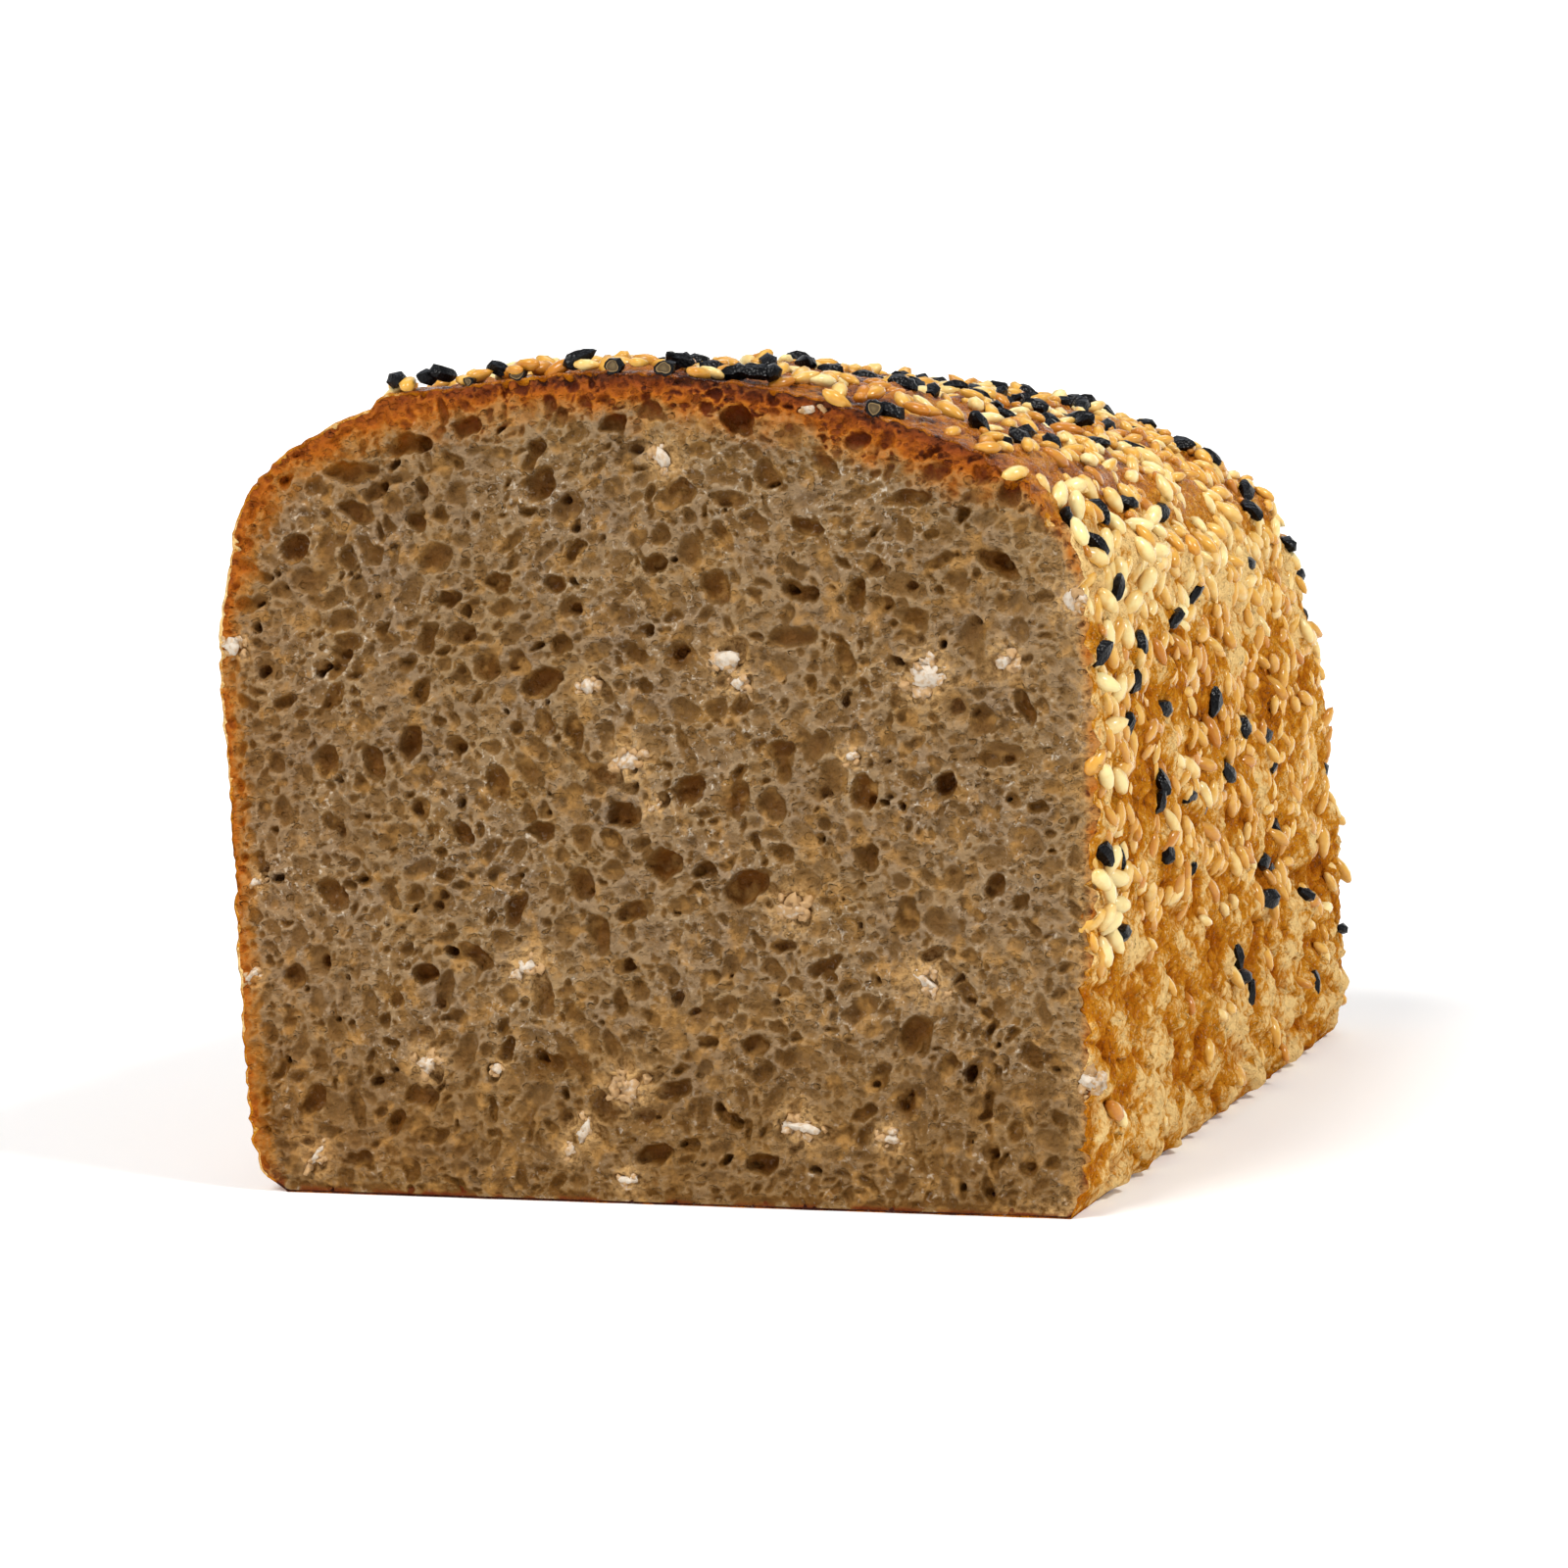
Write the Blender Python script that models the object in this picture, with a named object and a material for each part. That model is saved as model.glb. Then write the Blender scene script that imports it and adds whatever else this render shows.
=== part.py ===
"""Half of a tin-baked spelt loaf, cut face to the front, rolled in sesame and black cumin seeds.

Units are metres and +Z is up. The loaf stands on its flat bottom at z = 0, its length runs along Y
and the cut face looks along -Y. The origin is at the middle of the bottom.
"""
import math
from dataclasses import dataclass

import bmesh
import bpy
import numpy as np

MM = 0.001

# ---- driving sizes, in millimetres ----------------------------------------------------------
LENGTH = 151.6            # cut face to the foot of the baked end
HEIGHT = 96.9             # the dome's top at the cut face, without seeds
DOME_FALL = 4.9           # how much lower the dome's top is at the baked end
PLACE = (-0.55, -76.2, 0.0)  # moves the outlines so that the origin is at the middle of the bottom

# The loaf's outline at the cut face, from the flat bottom's left edge over the dome to its right
# edge: the tin's nearly upright walls, a soft shoulder where the dough rose over the rim, a dome.
CUT_OUTLINE = (
    (-45.0, 0.0), (-49.2, 2.8), (-51.1, 10.5), (-51.8, 30.0), (-52.4, 50.0),
    (-53.2, 65.0), (-51.8, 75.0), (-48.0, 83.2), (-38.4, 90.6), (-21.2, 95.4),
    (-3.2, HEIGHT), (14.8, 95.0), (31.8, 90.6), (44.3, 85.2), (50.4, 78.0),
    (53.0, 66.0), (53.4, 45.0), (52.6, 24.0), (51.9, 3.2), (49.8, 0.0),
)
# The same outline where the baked end begins to round off: a lower, rounder dome and a wider foot.
END_OUTLINE = (
    (-45.0, 0.0), (-49.6, 3.2), (-51.0, 10.5), (-51.0, 30.0), (-51.2, 48.0),
    (-51.2, 62.0), (-49.6, 71.0), (-45.7, 79.0), (-36.2, 86.6), (-21.2, 90.8),
    (-3.2, HEIGHT - DOME_FALL), (14.8, 90.4), (30.4, 86.0), (41.6, 79.6), (47.6, 71.6),
    (50.9, 61.0), (52.5, 44.0), (52.9, 24.0), (54.0, 4.4), (51.8, 0.0),
)
BLEND_START = 10.0        # distance from the cut face where the outline begins to change
BLEND_LENGTH = 110.0      # distance over which it changes

# The baked end: its edge is rounded by ROUND_FOOT at the foot, more up the wall and most at the dome.
ROUND_FOOT = 12.0
ROUND_WALL = 9.0          # what the wall adds, from WALL_FROM over EDGE_BLEND of height
ROUND_DOME = 19.0         # what the dome adds, from DOME_FROM over EDGE_BLEND of height
WALL_FROM = 6.0
DOME_FROM = 55.0
EDGE_BLEND = 35.0
END_LEAN = 5.5            # how far the end wall leans in towards the dome
LEAN_FROM = 20.0
LEAN_BLEND = 60.0
END_BULGE = 0.8           # how far the middle of the end wall stands proud
END_CENTRE = (0.8, 42.0)  # x and z of the end wall's middle

# Grain of the mesh.
AROUND = 72               # points from one bottom edge over the dome to the other
ACROSS_BASE = 6           # spans across the flat bottom
ALONG = 19                # spans along the straight part
ROUND_STEPS = 5           # spans round the baked end's edge
WALL_STEPS = 4            # spans from the edge to the end wall's middle

# Crust relief: soft waves of the dough, and a ridge where it rose over the tin's rim.
CALM_LENGTH = 22.0        # distance from the cut face over which the waves grow
CALM_HEIGHT = 6.0         # height over the bottom over which they grow
RIM_HEIGHT = 73.0
RIM_SWAY = 1.5            # how far the ridge runs up and down along the loaf
RIM_DEPTH = 0.8
RIM_WIDTH = 3.0
FOOT_CRAG = 1.0           # how far the craggy foot of the right side stands proud
FOOT_HEIGHT = 9.0
FOOT_START = 4.0          # distance from the cut face where the crags begin

# Seeds on the crust.
SEED_COUNT = 172
SEED_LOWEST_Z = 30.0      # the sides are bare below this
SEED_FIRST_Y = 3.0        # distance from the cut face to the first seed
BARE_LEFT_X = -36.0       # left of this the crust is bare near the cut
BARE_LEFT_LENGTH = 14.0
SEED_SINK = 0.30          # share of a seed's thickness that is sunk in the crust
SEED_TAPER = 0.55         # how much narrower a seed is at its pointed end
PLACES_PER_SEED = 1.52    # places that the spread tries for each seed it keeps
RANDOM_SEED = 7

GOLDEN_RATIO = (1.0 + math.sqrt(5.0)) / 2.0


@dataclass(frozen=True)
class SeedKind:
    """The size of one kind of seed, in millimetres, and its share of all the seeds."""

    length: float
    width: float
    thickness: float
    share: float


SESAME = SeedKind(length=3.3, width=2.0, thickness=1.15, share=0.72)
BLACK_CUMIN = SeedKind(length=3.0, width=1.8, thickness=1.5, share=0.28)


@dataclass(frozen=True)
class Wave:
    """Two crossing waves in the crust, as depth * sin(run_a . p + phase_a) * sin(run_b . p + phase_b).

    Depth is in millimetres, the runs in radians per millimetre along X, Y and Z.
    """

    depth: float
    run_a: tuple
    phase_a: float
    run_b: tuple
    phase_b: float


WAVES = (
    Wave(0.50, (0.0, 0.141, 0.093), 0.8, (0.118, -0.067, 0.0), 1.9),
    Wave(0.27, (-0.21, 0.29, 0.0), 0.4, (0.13, 0.0, 0.31), 2.2),
    Wave(0.17, (0.0, 0.57, 0.49), 0.0, (0.61, 0.0, -0.38), 1.1),
)


@dataclass(frozen=True)
class Hole:
    """One of the crumb's largest holes on the cut face, in millimetres.

    x and z are its middle, width and height its size along and across its tilt (degrees from
    the X axis, anticlockwise seen from the front).
    """

    x: float
    z: float
    width: float
    height: float
    tilt: float


HOLE_DEPTH = 2.4
HOLE_ROOM = 1.1           # a cutter's corners stand out past the hole by this factor
LARGE_HOLES = (
    Hole(11.8, 37.2, 5.6, 3.6, 28.0), Hole(-12.6, 60.9, 5.8, 3.2, 29.0),
    Hole(-35.5, 85.6, 7.0, 2.4, 0.0), Hole(1.9, 39.9, 4.0, 3.6, 20.0),
    Hole(5.3, 48.8, 4.4, 3.3, 33.0), Hole(26.0, 48.4, 4.6, 3.0, -88.0),
    Hole(-5.1, 50.4, 5.6, 2.4, -20.0), Hole(-29.1, 12.1, 4.6, 2.8, -22.0),
    Hole(42.7, 74.6, 4.8, 2.4, -31.0), Hole(31.2, 34.4, 4.2, 3.1, -80.0),
    Hole(-33.8, 51.6, 4.2, 2.5, -83.0), Hole(-16.6, 34.6, 4.7, 2.3, 68.0),
    Hole(13.1, 5.1, 4.0, 2.4, -6.0), Hole(-21.4, 28.7, 5.0, 2.5, -32.0),
    Hole(-35.2, 79.6, 4.5, 2.3, -16.0), Hole(35.9, 49.4, 3.5, 2.8, 52.0),
    Hole(2.2, 13.6, 4.9, 2.2, 14.0), Hole(32.4, 81.6, 4.5, 2.3, 0.0),
    Hole(12.3, 18.9, 3.8, 2.6, 18.0), Hole(-0.6, 5.8, 4.3, 2.4, 7.0),
    Hole(16.6, 53.3, 3.8, 2.5, 2.0), Hole(-17.8, 72.5, 3.4, 2.5, -11.0),
)


def placed(point):
    """A point of the outlines, in millimetres, as a point of the model, in metres."""
    return (np.asarray(point) + np.array(PLACE)) * MM


def smooth_step(value):
    """Ease from 0 to 1 with flat ends."""
    t = np.clip(value, 0.0, 1.0)
    return t * t * (3.0 - 2.0 * t)


def smooth_outline(points, count):
    """Run a centripetal Catmull-Rom curve through points and give count + 1 even points of it."""
    knots = np.array(points, dtype=float)
    before = 2.0 * knots[0] - knots[1]
    after = 2.0 * knots[-1] - knots[-2]
    knots = np.vstack([before, knots, after])
    p0, p1, p2, p3 = knots[:-3], knots[1:-2], knots[2:-1], knots[3:]
    d1 = np.sqrt(np.linalg.norm(p1 - p0, axis=1))[:, None]
    d2 = np.sqrt(np.linalg.norm(p2 - p1, axis=1))[:, None]
    d3 = np.sqrt(np.linalg.norm(p3 - p2, axis=1))[:, None]
    slope1 = d2 * ((p1 - p0) / d1 - (p2 - p0) / (d1 + d2) + (p2 - p1) / d2)
    slope2 = d2 * ((p2 - p1) / d2 - (p3 - p1) / (d2 + d3) + (p3 - p2) / d3)
    t = np.linspace(0.0, 1.0, 17)[:-1, None, None]
    fine = ((2 * t**3 - 3 * t**2 + 1) * p1 + (t**3 - 2 * t**2 + t) * slope1
            + (3 * t**2 - 2 * t**3) * p2 + (t**3 - t**2) * slope2)
    fine = np.vstack([fine.transpose(1, 0, 2).reshape(-1, 2), knots[-2]])
    lengths = np.linalg.norm(np.diff(fine, axis=0), axis=1)
    travelled = np.concatenate([[0.0], np.cumsum(lengths)])
    even = np.linspace(0.0, travelled[-1], count + 1)
    return np.stack([np.interp(even, travelled, fine[:, axis]) for axis in (0, 1)], axis=-1)


def closed_outline(points):
    """The smooth outline, closed by the flat bottom: one ring of (x, z), clockwise from the front."""
    over_dome = smooth_outline(points, AROUND)
    over_dome[:, 1] = np.maximum(over_dome[:, 1], 0.0)
    share = np.arange(1, ACROSS_BASE)[:, None] / ACROSS_BASE
    base = over_dome[-1] * (1.0 - share) + over_dome[0] * share
    return np.vstack([over_dome, base])


def end_rounding(z):
    """How far the end wall's edge is rounded at height z."""
    return (ROUND_FOOT + ROUND_WALL * smooth_step((z - WALL_FROM) / EDGE_BLEND)
            + ROUND_DOME * smooth_step((z - DOME_FROM) / EDGE_BLEND))


def end_lean(z):
    """How far the end wall leans in at height z."""
    return END_LEAN * smooth_step((z - LEAN_FROM) / LEAN_BLEND)


def loaf_rings():
    """The loaf's surface as rings from the cut face to the end wall, shape (rings, points, 3)."""
    cut = closed_outline(CUT_OUTLINE)
    end = closed_outline(END_OUTLINE)
    centre = np.array(END_CENTRE)
    rounding = end_rounding(end[:, 1])
    straight = LENGTH - end_lean(end[:, 1]) - rounding
    spread = np.linalg.norm(end - centre, axis=1)
    rings = []
    for step in range(ALONG + 1):
        y = straight * step / ALONG
        change = smooth_step((y - BLEND_START) / BLEND_LENGTH)[:, None]
        ring = cut * (1.0 - change) + end * change
        rings.append(np.stack([ring[:, 0], y, ring[:, 1]], axis=-1))
    for step in range(1, ROUND_STEPS + 1):
        angle = 0.5 * math.pi * step / ROUND_STEPS
        shrink = 1.0 - rounding * (1.0 - math.cos(angle)) / spread
        ring = centre + (end - centre) * shrink[:, None]
        rings.append(np.stack([ring[:, 0], straight + rounding * math.sin(angle), ring[:, 1]], axis=-1))
    edge = 1.0 - rounding / spread
    rise = LENGTH + END_BULGE - (straight + rounding)
    for step in range(1, WALL_STEPS):
        inward = step / WALL_STEPS
        ring = centre + (end - centre) * (edge * (1.0 - inward))[:, None]
        y = straight + rounding + rise * math.sin(0.5 * math.pi * inward)
        rings.append(np.stack([ring[:, 0], y, ring[:, 1]], axis=-1))
    return np.array(rings)


def crust_relief(points):
    """How far the crust stands out at each point: soft waves, the rim's ridge and the craggy foot.

    The waves die down towards the cut, where the outline itself holds the loaf's form.
    """
    x, y, z = points[..., 0], points[..., 1], points[..., 2]
    waves = sum(wave.depth * np.sin(points @ np.array(wave.run_a) + wave.phase_a)
                * np.sin(points @ np.array(wave.run_b) + wave.phase_b) for wave in WAVES)
    on_side = smooth_step((np.abs(x) - 40.0) / 8.0)
    rim_line = RIM_HEIGHT + RIM_SWAY * np.sin(0.07 * y)
    rim = RIM_DEPTH * on_side * np.exp(-((z - rim_line) / RIM_WIDTH) ** 2)
    on_right = smooth_step((x - 44.0) / 5.0)
    crags = FOOT_CRAG * (np.sin(0.83 * y) * np.sin(0.37 * y + 0.6) + 0.4)
    foot = crags * on_right * np.exp(-(z / FOOT_HEIGHT) ** 2) * smooth_step((y - FOOT_START) / 20.0)
    calm = smooth_step(z / CALM_HEIGHT) * smooth_step(y / CALM_LENGTH)
    return calm * (waves + rim) + smooth_step(z / 2.0) * foot


def loaf_mesh():
    """The bare loaf as a closed bmesh, in millimetres with the cut face at y = 0, and its rings."""
    rings = loaf_rings()
    outward = rings[:, :, (0, 2)] - np.array(END_CENTRE)
    outward /= np.linalg.norm(outward, axis=-1, keepdims=True)
    turned = 0.5 * math.pi * np.clip((np.arange(len(rings)) - ALONG) / ROUND_STEPS, 0.0, 1.0)[:, None]
    relief = crust_relief(rings)
    first_wall = ALONG + ROUND_STEPS + 1
    relief[first_wall:] *= np.linspace(0.7, 0.1, len(rings) - first_wall)[:, None]  # calm middle
    rings[:, :, 0] += outward[:, :, 0] * relief * np.cos(turned)
    rings[:, :, 1] += relief * np.sin(turned)
    rings[:, :, 2] += outward[:, :, 1] * relief * np.cos(turned)
    on_base = slice(AROUND, AROUND + ACROSS_BASE)
    rings[:ALONG + 1, on_base, 2] = 0.0
    rings[:ALONG + 1, 0, 2] = 0.0
    mesh = bmesh.new()
    grid = [[mesh.verts.new(point) for point in ring] for ring in rings]
    around = len(grid[0])
    for near, far in zip(grid, grid[1:]):
        for i in range(around):
            j = (i + 1) % around
            mesh.faces.new((near[i], near[j], far[j], far[i]))
    mesh.faces.new(grid[0])
    middle = (END_CENTRE[0], LENGTH + END_BULGE, END_CENTRE[1])
    tip = mesh.verts.new(middle)
    last = grid[-1]
    for i in range(around):
        mesh.faces.new((last[i], last[(i + 1) % around], tip))
    bmesh.ops.recalc_face_normals(mesh, faces=mesh.faces)
    return mesh, rings


def seed_places(rings, count):
    """Spread seeds evenly over the crust where the loaf carries them.

    A golden-ratio sequence runs over the crust from one bottom edge to the other and from the
    cut face to the rounded end, and keeps the places that are high enough and not bare.
    Gives (middle, outward, along) for each seed.
    """
    last_ring = ALONG + ROUND_STEPS
    places = []
    number = 0
    while len(places) < count:
        number += 1
        around = (number / GOLDEN_RATIO) % 1.0 * AROUND
        along = (number + 0.5) / (count * PLACES_PER_SEED) % 1.0 * last_ring
        i, k = int(around), int(along)
        share_i, share_k = around - i, along - k
        p00, p10 = rings[k, i], rings[k, i + 1]
        p01, p11 = rings[k + 1, i], rings[k + 1, i + 1]
        near = p00 * (1.0 - share_i) + p10 * share_i
        far = p01 * (1.0 - share_i) + p11 * share_i
        middle = near * (1.0 - share_k) + far * share_k
        bare_left = middle[0] < BARE_LEFT_X and middle[1] < BARE_LEFT_LENGTH
        if middle[2] < SEED_LOWEST_Z or middle[1] < SEED_FIRST_Y or bare_left:
            continue
        outward = np.cross(p10 - p00, far - near)
        outward /= np.linalg.norm(outward)
        places.append((middle, outward, p10 - p00))
    return places


def add_seed(name, kind, middle, outward, along, turn, collection):
    """Add one seed: a small pointed egg lying on the crust, in metres."""
    mesh = bmesh.new()
    bmesh.ops.create_icosphere(mesh, subdivisions=1, radius=0.5)
    along = along - (along @ outward) * outward
    along /= np.linalg.norm(along)
    across = np.cross(outward, along)
    axis = math.cos(turn) * along + math.sin(turn) * across
    side = np.cross(outward, axis)
    for vertex in mesh.verts:
        x, y, z = vertex.co
        taper = 1.0 - SEED_TAPER * (x + 0.5) ** 2
        local = (axis * x * kind.length + side * y * kind.width * taper
                 + outward * (z + 0.5 - SEED_SINK) * kind.thickness)
        vertex.co = placed(middle + local)
    data = bpy.data.meshes.new(name)
    mesh.to_mesh(data)
    mesh.free()
    collection.objects.link(bpy.data.objects.new(name, data))


def add_hole_cutter(name, hole, collection):
    """Add one hole's cutter: a flattened ball centred on the cut face, in metres."""
    mesh = bmesh.new()
    bmesh.ops.create_icosphere(mesh, subdivisions=1, radius=0.5)
    tilt = math.radians(hole.tilt)
    for vertex in mesh.verts:
        x, y, z = vertex.co
        wide, high = x * hole.width * HOLE_ROOM, z * hole.height * HOLE_ROOM
        vertex.co = placed((hole.x + wide * math.cos(tilt) - high * math.sin(tilt),
                            y * 2.0 * HOLE_DEPTH,
                            hole.z + wide * math.sin(tilt) + high * math.cos(tilt)))
    data = bpy.data.meshes.new(name)
    mesh.to_mesh(data)
    mesh.free()
    collection.objects.link(bpy.data.objects.new(name, data))


def crust_material():
    """Baked crust: warm golden brown, satin."""
    material = bpy.data.materials.new("baked_crust")
    material.use_nodes = True
    shader = material.node_tree.nodes["Principled BSDF"]
    shader.inputs["Base Color"].default_value = (0.52, 0.26, 0.08, 1.0)
    shader.inputs["Roughness"].default_value = 0.5
    shader.inputs["Metallic"].default_value = 0.0
    return material


def clear_scene():
    """Remove whatever the scene holds."""
    for old in list(bpy.data.objects):
        bpy.data.objects.remove(old, do_unlink=True)


def apply_boolean(target, collection, operation):
    """Join or cut target with every object of collection, and remove those objects."""
    modifier = target.modifiers.new(operation.lower(), "BOOLEAN")
    modifier.operation = operation
    modifier.operand_type = "COLLECTION"
    modifier.collection = collection
    modifier.solver = "MANIFOLD"
    depsgraph = bpy.context.evaluated_depsgraph_get()
    joined = bpy.data.meshes.new_from_object(target.evaluated_get(depsgraph))
    target.modifiers.clear()
    target.data = joined
    for used in list(collection.objects):
        bpy.data.objects.remove(used, do_unlink=True)
    bpy.data.collections.remove(collection)


def new_collection(name):
    """Make an empty collection in the scene."""
    collection = bpy.data.collections.new(name)
    bpy.context.scene.collection.children.link(collection)
    return collection


def build_loaf():
    """The loaf: the baked body, its seeds fused on, its largest holes cut into the crumb."""
    mesh, rings = loaf_mesh()
    for vertex in mesh.verts:
        vertex.co = placed(vertex.co)
    data = bpy.data.meshes.new("spelt_loaf")
    mesh.to_mesh(data)
    mesh.free()
    loaf = bpy.data.objects.new("spelt_loaf", data)
    bpy.context.scene.collection.objects.link(loaf)

    draw = np.random.default_rng(RANDOM_SEED)
    seeds = new_collection("seeds")
    for number, (middle, outward, along) in enumerate(seed_places(rings, SEED_COUNT)):
        kind = BLACK_CUMIN if draw.random() < BLACK_CUMIN.share else SESAME
        turn = draw.uniform(0.0, 2.0 * math.pi)
        add_seed(f"seed_{number}", kind, middle, outward, along, turn, seeds)
    apply_boolean(loaf, seeds, "UNION")

    holes = new_collection("holes")
    for number, hole in enumerate(LARGE_HOLES):
        add_hole_cutter(f"hole_{number}", hole, holes)
    apply_boolean(loaf, holes, "DIFFERENCE")

    loaf.data.materials.clear()
    loaf.data.materials.append(crust_material())
    return loaf


clear_scene()
build_loaf()
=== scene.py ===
"""Half of a tin-baked spelt loaf, cut face to the front, rolled in sesame and black cumin seeds.

The loaf's outer form is worked out in millimetres in the loaf's own frame: x across, y from the cut
face to the baked end, z up from the flat bottom. LoafForm.placed moves it to the frame, in metres.
"""
import logging
import math
from dataclasses import dataclass, field
from enum import Enum
from functools import partial, reduce
from typing import NamedTuple

import bpy
import numpy as np
from mathutils import Matrix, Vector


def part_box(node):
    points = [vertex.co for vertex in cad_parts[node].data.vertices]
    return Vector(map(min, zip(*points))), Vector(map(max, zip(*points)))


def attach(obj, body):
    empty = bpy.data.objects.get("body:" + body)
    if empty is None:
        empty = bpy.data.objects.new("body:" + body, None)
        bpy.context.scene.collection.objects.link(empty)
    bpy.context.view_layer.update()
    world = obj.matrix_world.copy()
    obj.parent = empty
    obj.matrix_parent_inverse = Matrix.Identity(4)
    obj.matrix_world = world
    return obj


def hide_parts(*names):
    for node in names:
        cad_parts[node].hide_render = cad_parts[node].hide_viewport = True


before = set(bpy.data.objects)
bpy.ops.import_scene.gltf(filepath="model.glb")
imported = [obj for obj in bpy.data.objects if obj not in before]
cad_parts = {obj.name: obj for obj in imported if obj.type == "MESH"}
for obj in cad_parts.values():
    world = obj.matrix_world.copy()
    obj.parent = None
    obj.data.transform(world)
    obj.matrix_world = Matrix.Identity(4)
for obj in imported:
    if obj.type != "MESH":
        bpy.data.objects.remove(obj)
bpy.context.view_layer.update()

Array = np.ndarray
Colour = tuple[float, float, float]
Pair = tuple[float, float]
Triple = tuple[float, float, float]
Socket = bpy.types.NodeSocket

MM = 0.001
LOAF_NODE = "spelt_loaf"

log = logging.getLogger("spelt_loaf")


# ---- numbers that repeat ----


def smooth_step(value: Array | float) -> Array:
    """Ease from 0 to 1 with flat ends, as t * t * (3 - 2t), with t held from 0 to 1."""
    t = np.clip(value, 0.0, 1.0)
    return t * t * (3.0 - 2.0 * t)


def between(low: float, high: float, value: Array | float) -> Array:
    """How far value has come from low to high, eased, from 0 to 1; high may lie under low."""
    return smooth_step((np.asarray(value) - low) / (high - low))


def unit(vectors: Array) -> Array:
    """The vectors at length 1, along their last axis."""
    return vectors / np.maximum(np.linalg.norm(vectors, axis=-1, keepdims=True), 1e-12)


def joined(*parts: Array | float) -> Array:
    """The parts, spread to one shape and laid side by side on a new last axis."""
    return np.stack(np.broadcast_arrays(*parts), axis=-1)


@dataclass(frozen=True)
class WaveNoise:
    """Smooth noise: an even sum of plane waves, whose headings and lengths are drawn from a seed."""

    seed: int
    size: float
    waves: int = 24
    stretch: Triple = (1.0, 1.0, 1.0)

    def __call__(self, points: Array) -> Array:
        """Value at each point: sqrt(2 / n) * sum of cos(k . p + phase), about 1 in spread.

        Args:
            points: Places in millimetres, with x, y and z on the last axis.

        Returns:
            One number for each point.
        """
        draw = np.random.default_rng(self.seed)
        heading = unit(draw.normal(size=(self.waves, 3)))
        rate = 2.0 * math.pi / self.size * draw.uniform(0.6, 1.5, (self.waves, 1))
        phase = draw.uniform(0.0, 2.0 * math.pi, self.waves)
        runs = (heading * rate / np.array(self.stretch)).T
        return math.sqrt(2.0 / self.waves) * np.cos(points @ runs + phase).sum(axis=-1)


@dataclass(frozen=True)
class CellNoise:
    """Cells round one middle for each cube of a lattice, which lies anywhere in its cube."""

    seed: int
    size: float
    stretch: Triple = (1.0, 1.0, 1.0)

    def draw(self, cell: Array, lane: int) -> Array:
        """A repeatable number from 0 to 1 for each lattice cube.

        Args:
            cell: Whole lattice places, with x, y and z on the last axis.
            lane: Which of the cube's numbers to give.

        Returns:
            One number for each cube.
        """
        mixed = (cell[..., 0] * 73856093) ^ (cell[..., 1] * 19349663) ^ (cell[..., 2] * 83492791)
        mixed = mixed ^ (self.seed * 7919 + lane * 104729)
        mixed = (mixed ^ (mixed >> 13)) * 1274126177
        return ((mixed ^ (mixed >> 16)) & 0xFFFFFF) / float(0x1000000)

    def __call__(self, points: Array) -> Array:
        """Distance to the nearest middle of the 27 cubes round each point.

        Args:
            points: Places in millimetres, with x, y and z on the last axis.

        Returns:
            The distance for each point, in cell sizes.
        """
        spot = points / (self.size * np.array(self.stretch))
        home = np.floor(spot).astype(np.int64)
        nearest = np.full(spot.shape[:-1], np.inf)
        for step in np.ndindex(3, 3, 3):
            cube = home + np.array(step) - 1
            middle = cube + joined(*(self.draw(cube, lane) for lane in range(3)))
            nearest = np.minimum(nearest, np.linalg.norm(spot - middle, axis=-1))
        return nearest


def even_steps(points: Array, count: int) -> Array:
    """Places at even steps along a run of points, by the way walked from its start.

    Args:
        points: The run's (x, z) places.
        count: How many places to take, with both ends.

    Returns:
        The places, shape (count, 2).
    """
    walked = np.concatenate([[0.0], np.cumsum(np.linalg.norm(np.diff(points, axis=0), axis=1))])
    at = np.linspace(0.0, walked[-1], count)
    return joined(*(np.interp(at, walked, points[:, axis]) for axis in (0, 1)))


# ---- the loaf's outer form ----


@dataclass(frozen=True)
class Wave:
    """Two crossing waves in the crust: depth * sin(run_a . p + phase_a) * sin(run_b . p + phase_b)."""

    depth: float
    run_a: Triple
    phase_a: float
    run_b: Triple
    phase_b: float


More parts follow.
